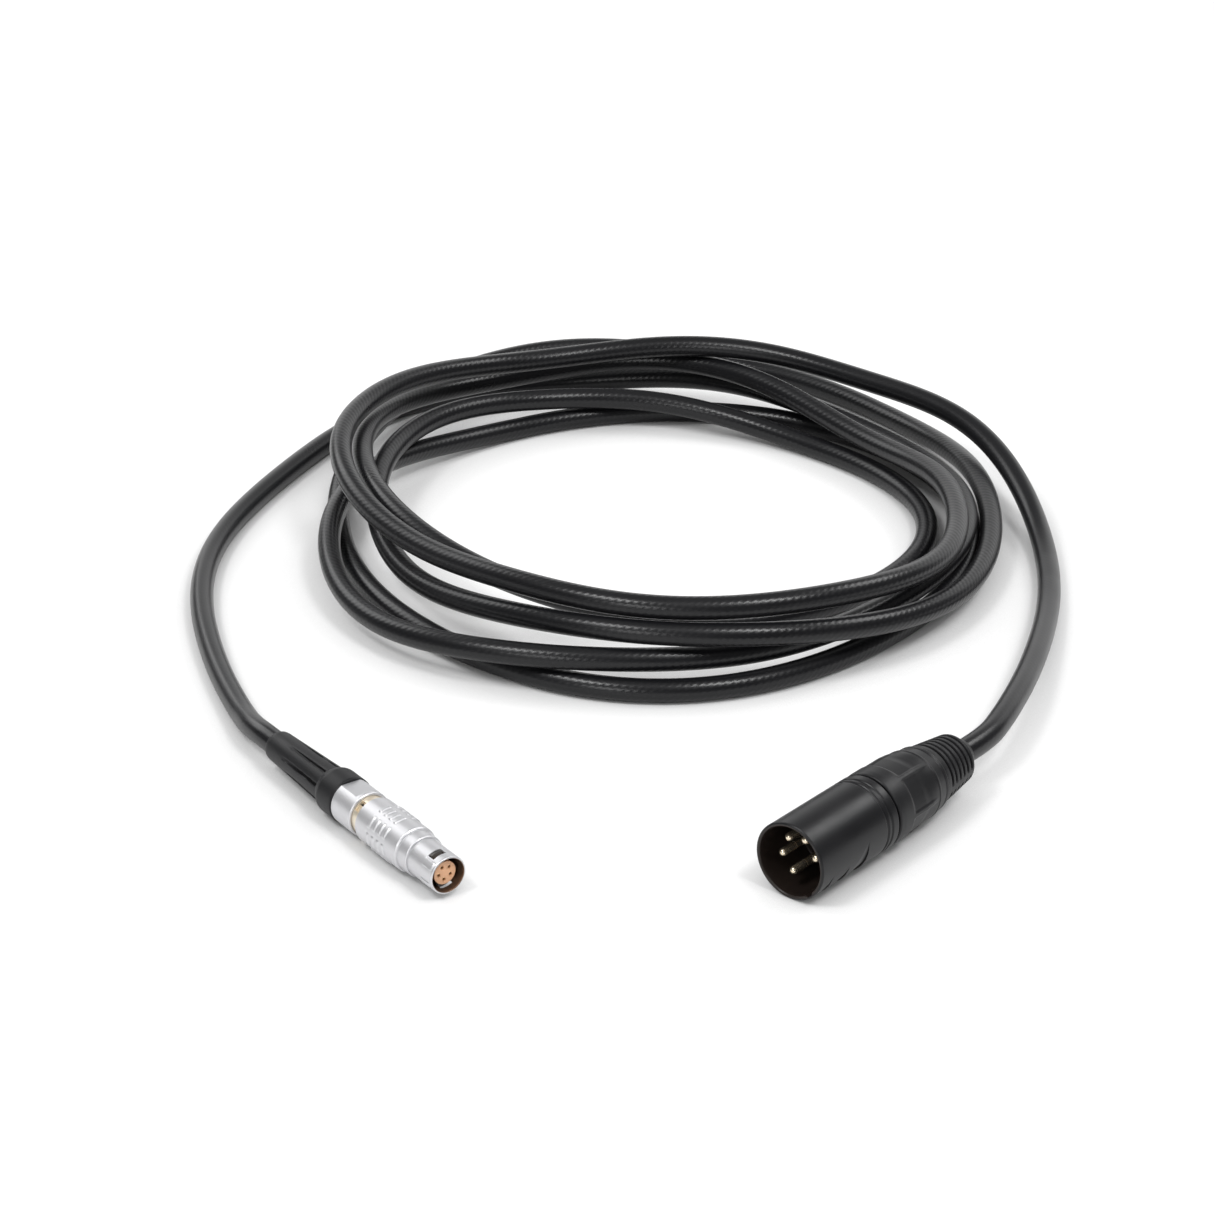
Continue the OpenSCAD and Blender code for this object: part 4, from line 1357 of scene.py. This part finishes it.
    def bushing(self) -> bpy.types.Object:
        """The bushing, its threaded shank inside the shell drawn plain.

        Returns:
            The bushing.
        """
        r, start, end = self.radius_mm, self.bushing_start_mm, self.bushing_end_mm
        front, shank, bore, seat = 25.0, 8.45, self.bushing_bore_mm, 6.05
        outline = [(front, bore), (front, shank), (start, shank), (start, r - 0.4), (start + 0.3, r - 0.1),
                   (start + 2, r), (start + 10.5, r), (start + 13.2, r - 0.25), (start + 16.2, r - 0.75),
                   (start + 16.4, r - 0.62), (start + 16.9, r - 0.68), (start + 17.1, r - 0.88),
                   (end - 1.2, 8.25), (end - 1.0, 8.35), (end - 0.25, 8.35), (end, 8.15), (end, seat),
                   (end - 4.7, seat), (end - 4.7, 5.8), (start + 13.8, 6.45), (start + 5.8, bore)]
        dense = denser(rounded(outline, radius=0.25), step=0.3)
        return turned("xlr_bushing_grip", self.axis, dense, sides=288, carve=self.carve_bushing)

    def carve_relief(self, skin: Skin) -> Array:
        """Grooves that leave ribs, broken by two smooth strips along the relief.

        Args:
            skin: The turned relief.

        Returns:
            The carved radii.
        """
        outside = skin.radius > self.cable_bore_mm + self.groove_depth_mm
        from_first = skin.station - self.bushing_end_mm - self.ribs_from_mm
        phase = from_first / self.ribs_length_mm * self.grooves
        groove = plateau(phase, 0.0, self.grooves, soft=0.02)
        groove = groove * plateau(phase % 1.0, *self.groove_shares, soft=0.13)
        half = self.strip_half_rad
        strips = sum(plateau(off_clock(skin.angle, clock), -half, half, soft=0.03)
                     for clock in self.strips_deg)
        return skin.radius - self.groove_depth_mm * outside * groove * (1 - strips)

    def relief(self) -> bpy.types.Object:
        """The rubber bend relief with its ribs and its chamfered collar.

        Returns:
            The relief.
        """
        z, end, bore, shank = self.bushing_end_mm, self.end_mm, self.cable_bore_mm, 6.0
        outline = [(z - 4.5, bore), (z - 4.5, shank), (z, shank), (z, 8.05), (z + 0.9, 7.95),
                   (z + 1.7, 7.8), (z + 13.1, 6.35), (z + 13.6, 5.6), (end - 1.6, 4.75), (end - 0.5, 4.1),
                   (end, 3.7), (end, bore)]
        dense = denser(rounded(outline, radius=0.3), step=0.14)
        return turned("xlr_bend_relief_boot", self.axis, dense, sides=200, carve=self.carve_relief,
                      sharp_deg=50)

    def make(self, wardrobe: Wardrobe) -> None:
        """Builds and dresses the plug's visible pieces.

        Args:
            wardrobe: The materials.
        """
        wardrobe.dress(self.shell(), Slot.BLACK_METAL, "root", "xlr_shell")
        wardrobe.dress(self.bushing(), Slot.BLACK_PLASTIC, "root", "xlr_bushing")
        wardrobe.dress(self.relief(), Slot.BLACK_RUBBER, "root", "xlr_bend_relief")
        for index in range(self.pins):
            wardrobe.dress(self.pin(index), Slot.GOLD, "root", f"xlr_pin_{index + 1}")


# ---------------------------------------------------------------- push-pull plug

@dataclass
class PushPullPlug:
    """Push-pull plug: sliding outer shell with grip bars, collet nut and rubber bend relief.

    A window is given by the stations of its front and rear edge and by its width; a key by its
    clock position and half its width. The bars are counted from the start of the grip, and a
    bar is as wide as its shares of the pitch, from half a pitch before its place. The slots of
    the relief are counted from its own start, by the same four stops as the other plug's
    pockets, and their width is measured at slot_radius_mm.
    """

    axis: PlugAxis = PUSHPULL_AXIS
    radius_mm: float = 5.7
    nose_radius_mm: float = 4.65
    nose_bore_mm: float = 4.15
    nose_mm: float = 10.1
    grip_mm: float = 13.7
    shell_end_mm: float = 31.4
    cavity_mm: float = 4.96
    shell_sides: int = 240
    latch_deg: float = 101.0
    window_mm: Triple = (2.1, 4.4, 3.5)
    keys: tuple[tuple[float, float], ...] = ((140, 0.85), (197, 0.5))
    key_mm: tuple[float, float] = (0.7, 4.3)
    key_height_mm: float = 0.3
    bars: int = 4
    columns: int = 8
    columns_deg: float = 141.5
    bars_from_mm: float = 5.2
    bar_pitch_mm: float = 2.1
    bar_shares: tuple[float, float] = (0.58, 0.8)
    bar_half_mm: float = 1.3
    bar_height_mm: float = 0.26
    nut_mm: float = 33.9
    flats_mm: float = 10.1
    flats_from_mm: float = 1.3
    flats_edge_mm: float = 0.12
    relief_mm: float = 42.0
    collar_mm: float = 5.9
    slots: int = 8
    slot_half_mm: float = 0.32
    slot_radius_mm: float = 4.6
    slot_depth_mm: float = 0.95
    slot_stops_mm: tuple[float, float, float, float] = (8.6, 9.1, 15.0, 27.0)
    end_mm: float = 76.3
    cable_bore_mm: float = 3.15
    contacts: int = 5
    insert_face_mm: float = 1.5
    contact_end_mm: float = 17.3
    contact_circle_mm: float = 1.65
    first_contact_deg: float = 44.0

    def carve_shell(self, skin: Skin) -> Array:
        """Grip bars round the shell and two key lands on the nose.

        Args:
            skin: The turned shell.

        Returns:
            The carved radii.
        """
        row = (skin.station - self.grip_mm - self.bars_from_mm) / self.bar_pitch_mm
        along = plateau(row, -0.4, self.bars - 0.4, soft=0.02)
        along = along * plateau((row + 0.5) % 1.0, *self.bar_shares, soft=0.2)
        round_it = off_clock(skin.angle, self.columns_deg, self.columns) * self.radius_mm
        bars = along * plateau(round_it, -self.bar_half_mm, self.bar_half_mm, soft=0.4)
        keys = plateau(skin.station, *self.key_mm, soft=0.12) * sum(
            plateau(off_clock(skin.angle, clock) * self.nose_radius_mm, -half, half, soft=0.12)
            for clock, half in self.keys)
        return (skin.radius + self.bar_height_mm * bars * (skin.radius > self.radius_mm - 0.1)
                + self.key_height_mm * keys * (skin.radius > self.nose_radius_mm - 0.12))

    def shell(self) -> bpy.types.Object:
        """The outer shell, its nose pierced by two latch windows.

        The outline runs along the outside and back along the inside through the same stations
        in the nose, so a window is a block of faces left out of both skins, with walls between.

        Returns:
            The shell.
        """
        r, nose, bore, cavity = self.radius_mm, self.nose_radius_mm, self.nose_bore_mm, self.cavity_mm
        low, high, width = self.window_mm
        step, grip, end, neck = self.nose_mm, self.grip_mm, self.shell_end_mm, 5.15
        stations = np.unique(np.r_[np.linspace(0.35, low, 8), np.linspace(low, high, 12),
                                   np.linspace(high, step - 0.35, 20)])
        rim = np.array([(0.15, bore + 0.03), (0.03, bore + 0.12), (0.0, bore + 0.22), (0.0, nose - 0.24),
                        (0.05, nose - 0.1), (0.17, nose - 0.02)])
        outer = np.c_[stations, np.full(len(stations), nose)]
        inner = np.c_[stations[::-1], np.full(len(stations), bore)]
        back = rounded([(step, nose), (step, neck - 0.23), (step + 0.25, neck), (grip, neck),
                        (grip, r - 0.35), (grip + 0.4, r), (end - 0.35, r), (end, r - 0.3), (end, cavity),
                        (step + 0.1, cavity), (step + 0.1, bore)], radius=0.1, closed=False)
        outline = np.vstack([rim, outer, denser(back, step=0.16, closed=False), inner])
        skin = Skin.turn(outline, self.shell_sides)
        keep, walls = np.ones(skin.station.shape, bool), []
        rows = len(rim) + np.searchsorted(stations, [low - 1e-6, high - 1e-6])
        twin = len(rim) + len(outline) - 1
        half = width / 2 / nose
        for clock in (self.latch_deg, self.latch_deg + 180):
            edges = (math.radians(clock) + np.array([-half, half])) / (2 * math.pi) * self.shell_sides
            cols = np.rint(edges).astype(int)
            inside = np.arange(*cols) % self.shell_sides
            keep[rows[0]:rows[1], inside] = keep[twin - rows[1]:twin - rows[0], inside] = False
            walls.append(self.window_walls(rows, cols, twin))
        surface = Surface()
        place = self.axis.place(skin.station, self.carve_shell(skin), skin.angle)
        surface.grid(place, lengths(outline, closed=True) * MM, keep=keep)
        surface.walls(np.concatenate(walls))
        return surface.build("pushpull_grip_shell", sharp_deg=50)

    def window_walls(self, rows: Array, cols: Array, twin: int) -> Array:
        """Faces that join the two skins round a window.

        The window's edge is a closed run of grid points: along its first row, up its last
        column, back along its last row and down its first column. Two neighbours on the outside
        make a face with their twins on the inside.

        Args:
            rows: First and last row of the window on the outside.
            cols: Its first and last column.
            twin: Sum of the rows of a point and its twin.

        Returns:
            Faces of four point numbers.
        """
        (i0, i1), (j0, j1) = rows, cols
        i = np.r_[np.full(j1 - j0, i0), np.arange(i0, i1), np.full(j1 - j0, i1), np.arange(i1, i0, -1)]
        j = np.r_[np.arange(j0, j1), np.full(i1 - i0, j1), np.arange(j1, j0, -1), np.full(i1 - i0, j0)]
        j = j % self.shell_sides
        outside, inside = i * self.shell_sides + j, (twin - i) * self.shell_sides + j
        return np.stack([outside, np.roll(outside, -1), np.roll(inside, -1), inside], axis=1)

    def carve_nut(self, skin: Skin) -> Array:
        """Two flats, above and below, for the spanner.

        A flat lies at a steady height, so its radius is that height over the sine of the angle.
        The sine is kept from 0 where the flats have long run out.

        Args:
            skin: The turned nut.

        Returns:
            The carved radii.
        """
        flat = self.flats_mm / 2 / np.maximum(np.abs(np.sin(skin.angle)), 0.3)
        on = ease((skin.station - self.nut_mm - self.flats_from_mm) / self.flats_edge_mm)
        return skin.radius - np.maximum(skin.radius - flat, 0) * on

    def nut(self) -> bpy.types.Object:
        """The collet nut with its tail inside the bend relief.

        Returns:
            The nut.
        """
        start, end, outer, tail = self.nut_mm, self.relief_mm, self.radius_mm - 0.05, 4.4
        bore, rear_bore = self.nose_radius_mm + 0.3, self.cable_bore_mm + 0.2
        outline = [(start, bore), (start, outer - 0.3), (start + 0.3, outer), (end, outer), (end, tail),
                   (end + 4, tail), (end + 4, rear_bore), (start + 5.9, rear_bore), (start + 4.4, bore)]
        dense = denser(rounded(outline, radius=0.12), step=0.2)
        return turned("pushpull_clamp_nut", self.axis, dense, sides=240, carve=self.carve_nut, sharp_deg=30)

    def carve_relief(self, skin: Skin) -> Array:
        """Long slots that fade out towards the cable.

        Args:
            skin: The turned relief.

        Returns:
            The carved radii.
        """
        outside = skin.radius > self.cable_bore_mm + 0.25
        spread = 360 / self.slots
        across = off_clock(skin.angle, -spread / 2, self.slots) * self.slot_radius_mm
        slot = plateau(across, -self.slot_half_mm, self.slot_half_mm, soft=0.16)
        along = hump(skin.station - self.relief_mm, self.slot_stops_mm)
        return skin.radius - self.slot_depth_mm * outside * along * slot

    def relief(self) -> bpy.types.Object:
        """The rubber bend relief: a flared collar and a tapering slotted sleeve.

        Returns:
            The relief.
        """
        z, end, collar = self.relief_mm, self.end_mm, self.collar_mm
        seat, bore = 4.45, self.cable_bore_mm
        outline = [(z, seat), (z, collar - 0.2), (z + 0.4, collar), (z + 6.2, collar),
                   (z + 7.1, collar - 0.2), (z + 7.9, collar - 0.65), (z + 8.3, 4.98), (end - 1.3, 3.95),
                   (end - 0.4, 3.8), (end, 3.5), (end, bore), (z + 4.3, bore), (z + 4.3, seat)]
        dense = denser(rounded(outline, radius=0.3), step=0.28)
        return turned("pushpull_bend_relief_boot", self.axis, dense, sides=256, carve=self.carve_relief,
                      sharp_deg=50)

    def contact(self, index: int) -> bpy.types.Object:
        """A socket contact: a gold sleeve whose round mouth is flush with the insert's face.

        Args:
            index: Which contact, from 0.

        Returns:
            The contact.
        """
        face, rear, outer, bore = self.insert_face_mm - 0.03, self.contact_end_mm, 0.6, 0.45
        outline = [(face + 5, 0), (face + 5, bore), (face + 0.12, bore), (face, bore + 0.08),
                   (face, outer - 0.06), (face + 0.06, outer), (rear, outer), (rear, bore),
                   (rear - 2.4, bore), (rear - 2.4, 0)]
        return spun(f"pushpull_contact_sleeve_{index + 1}", self.axis, np.array(outline), sides=32,
                    clock=self.first_contact_deg + 360 / self.contacts * index,
                    offset=self.contact_circle_mm)

    def make(self, wardrobe: Wardrobe) -> None:
        """Builds and dresses the plug's visible pieces.

        Args:
            wardrobe: The materials.
        """
        for index in range(self.contacts):
            contact = wardrobe.dress(self.contact(index), Slot.GOLD, "root", f"pushpull_contact_{index + 1}")
            contact.data.materials[0] = wardrobe.socket_gold
        wardrobe.dress(self.shell(), Slot.CHROME, "pushpull_shell", "pushpull_outer_shell")
        wardrobe.dress(self.nut(), Slot.CHROME, "root", "pushpull_collet_nut")
        wardrobe.dress(self.relief(), Slot.BLACK_RUBBER, "root", "pushpull_bend_relief")


# ---------------------------------------------------------------- studio

@dataclass(frozen=True)
class Lamp:
    """Soft rectangular lamp: where it hangs, what it points at and its size, all in metres."""

    name: str
    place: Triple
    aim: Triple
    size: tuple[float, float]
    watts: float

    def hang(self) -> None:
        """Adds the lamp to the scene, turned towards its aim."""
        data = bpy.data.lights.new(self.name, "AREA")
        data.shape, data.energy = "RECTANGLE", self.watts
        data.size, data.size_y = self.size
        lamp = bpy.data.objects.new(self.name, data)
        x, y, z = np.subtract(self.place, self.aim)
        lamp.location = self.place
        lamp.rotation_euler = (math.atan2(math.hypot(x, y), z), 0.0, math.atan2(x, -y))
        bpy.context.scene.collection.objects.link(lamp)


@dataclass
class Studio:
    """Pale floor, soft lamps, the room's light and the camera.

    The room is darker at the horizon than overhead, the change lying between two heights of
    the unit sphere. The floor's own glow fades close under the object, a painted contact shadow.
    """

    camera_m: Triple = (0.4347, -0.5081, 0.3719)
    pitch_deg: float = 64.38
    azimuth_deg: float = 40.39
    lens_mm: float = 95.0
    sensor_mm: float = 36.0
    clip_m: tuple[float, float] = (0.01, 50.0)
    floor_m: float = 12.0
    floor_grey: float = 0.82
    contact_m: float = 0.02
    painted_shadow_power: float = 1.2
    glow_share: float = 0.5
    room_light: tuple[float, float] = (0.13, 0.36)
    room_change: tuple[float, float] = (0.35, 0.85)
    lamps: tuple[Lamp, ...] = (
        Lamp("key right", (0.62, 0.0, 1.02), (-0.07, 0.09, 0.0), (0.3, 0.3), 6.4),
        Lamp("key left", (-0.17, -0.62, 1.02), (-0.07, 0.09, 0.0), (0.3, 0.3), 6.4),
        Lamp("sweep", (-0.75, 1.35, 0.42), (-0.05, 0.05, 0.05), (2.6, 0.8), 7.0),
        Lamp("back", (0.31, 0.84, 0.83), (0.0, 0.05, 0.0), (0.5, 0.3), 3.5),
        Lamp("side", (-1.0, 0.1, 0.6), (-0.05, 0.05, 0.0), (0.6, 0.5), 3.0),
        Lamp("front", (0.3, -1.1, 0.42), (0.05, 0.0, 0.0), (0.4, 0.4), 3.0),
    )

    def camera(self) -> None:
        """Sets up the camera."""
        data = bpy.data.cameras.new("camera")
        data.lens, data.sensor_width, data.sensor_fit = self.lens_mm, self.sensor_mm, "HORIZONTAL"
        data.clip_start, data.clip_end = self.clip_m
        camera = bpy.data.objects.new("camera", data)
        camera.location = self.camera_m
        camera.rotation_euler = (math.radians(self.pitch_deg), 0.0, math.radians(self.azimuth_deg))
        bpy.context.scene.collection.objects.link(camera)
        bpy.context.scene.camera = camera

    def floor_material(self) -> bpy.types.Material:
        """Pale to the lamps and the object, near white to the camera and to reflections.

        Its glow is scaled by a power of the share of open sky within a short way, which paints a
        contact shadow on the floor where the object touches it.

        Returns:
            The material.
        """
        material, t = new_material("floor")
        white = (1.0, 1.0, 1.0, 1.0)
        plain = t.feed(t.node("ShaderNodeBsdfDiffuse"), Color=rgba((self.floor_grey,) * 3))
        # Painted contact shadow: ambient occlusion dims the floor's glow close to the object.
        painted_shadow_ao = t.feed(t.node("ShaderNodeAmbientOcclusion", samples=4), Distance=self.contact_m)
        strength = t.math("POWER", painted_shadow_ao.outputs["AO"], self.painted_shadow_power)
        glow = t.feed(t.node("ShaderNodeEmission"), Color=white, Strength=strength)
        lit = t.feed(t.node("ShaderNodeBsdfDiffuse"), Color=white)
        path = t.node("ShaderNodeLightPath").outputs
        seen = t.math("ADD", t.math("ADD", path["Is Camera Ray"], path["Is Glossy Ray"]),
                      path["Is Transmission Ray"], clamp=True)
        pale = t.node("ShaderNodeMixShader")
        t.feed(pale, in0=self.glow_share, in1=glow.outputs[0], in2=lit.outputs[0])
        both = t.feed(t.node("ShaderNodeMixShader"), in0=seen, in1=plain.outputs[0], in2=pale.outputs[0])
        t.feed(t.node("ShaderNodeOutputMaterial"), Surface=both.outputs[0])
        return material

    def floor(self) -> None:
        """Lays a square floor at height 0."""
        corners = self.floor_m / 2 * np.array([(-1, -1, 0), (1, -1, 0), (1, 1, 0), (-1, 1, 0)])
        mesh = bpy.data.meshes.new("floor")
        mesh.from_pydata(corners.tolist(), [], [(0, 1, 2, 3)])
        mesh.materials.append(self.floor_material())
        floor = bpy.data.objects.new("floor", mesh)
        bpy.context.scene.collection.objects.link(floor)

    def room(self) -> None:
        """Lights the room evenly round, from a dim horizon to a brighter ceiling."""
        world = bpy.data.worlds.new("studio")
        world.use_nodes = True
        t = Tree(world.node_tree)
        sky = t.node("ShaderNodeTexCoord").outputs["Generated"]
        split = t.feed(t.node("ShaderNodeSeparateXYZ"), Vector=sky)
        light = t.node("ShaderNodeMapRange", interpolation_type="SMOOTHSTEP")
        t.feed(light, Value=split.outputs["Z"], From_Min=self.room_change[0], From_Max=self.room_change[1],
               To_Min=self.room_light[0], To_Max=self.room_light[1])
        t.feed(t.tree.nodes["Background"], Color=(1.0, 1.0, 1.0, 1.0), Strength=light.outputs[0])
        bpy.context.scene.world = world

    def make(self) -> None:
        """Sets the stage."""
        self.camera()
        self.floor()
        self.room()
        for lamp in self.lamps:
            lamp.hang()
        bpy.context.scene.view_settings.view_transform = "Standard"


def main() -> None:
    """Builds the scene in order: camera and studio, materials, cable and plugs."""
    logging.basicConfig(level=logging.INFO, format="%(name)s: %(message)s")
    Studio().make()
    wardrobe = Wardrobe()
    wardrobe.dress_nodes()
    xlr, pushpull = XlrPlug(), PushPullPlug()
    Cable().make(wardrobe, (xlr.axis.exit(xlr.end_mm), pushpull.axis.exit(pushpull.end_mm)),
                 (xlr.axis.rear(), pushpull.axis.rear()))
    xlr.make(wardrobe)
    pushpull.make(wardrobe)


if __name__ == "__main__":
    main()
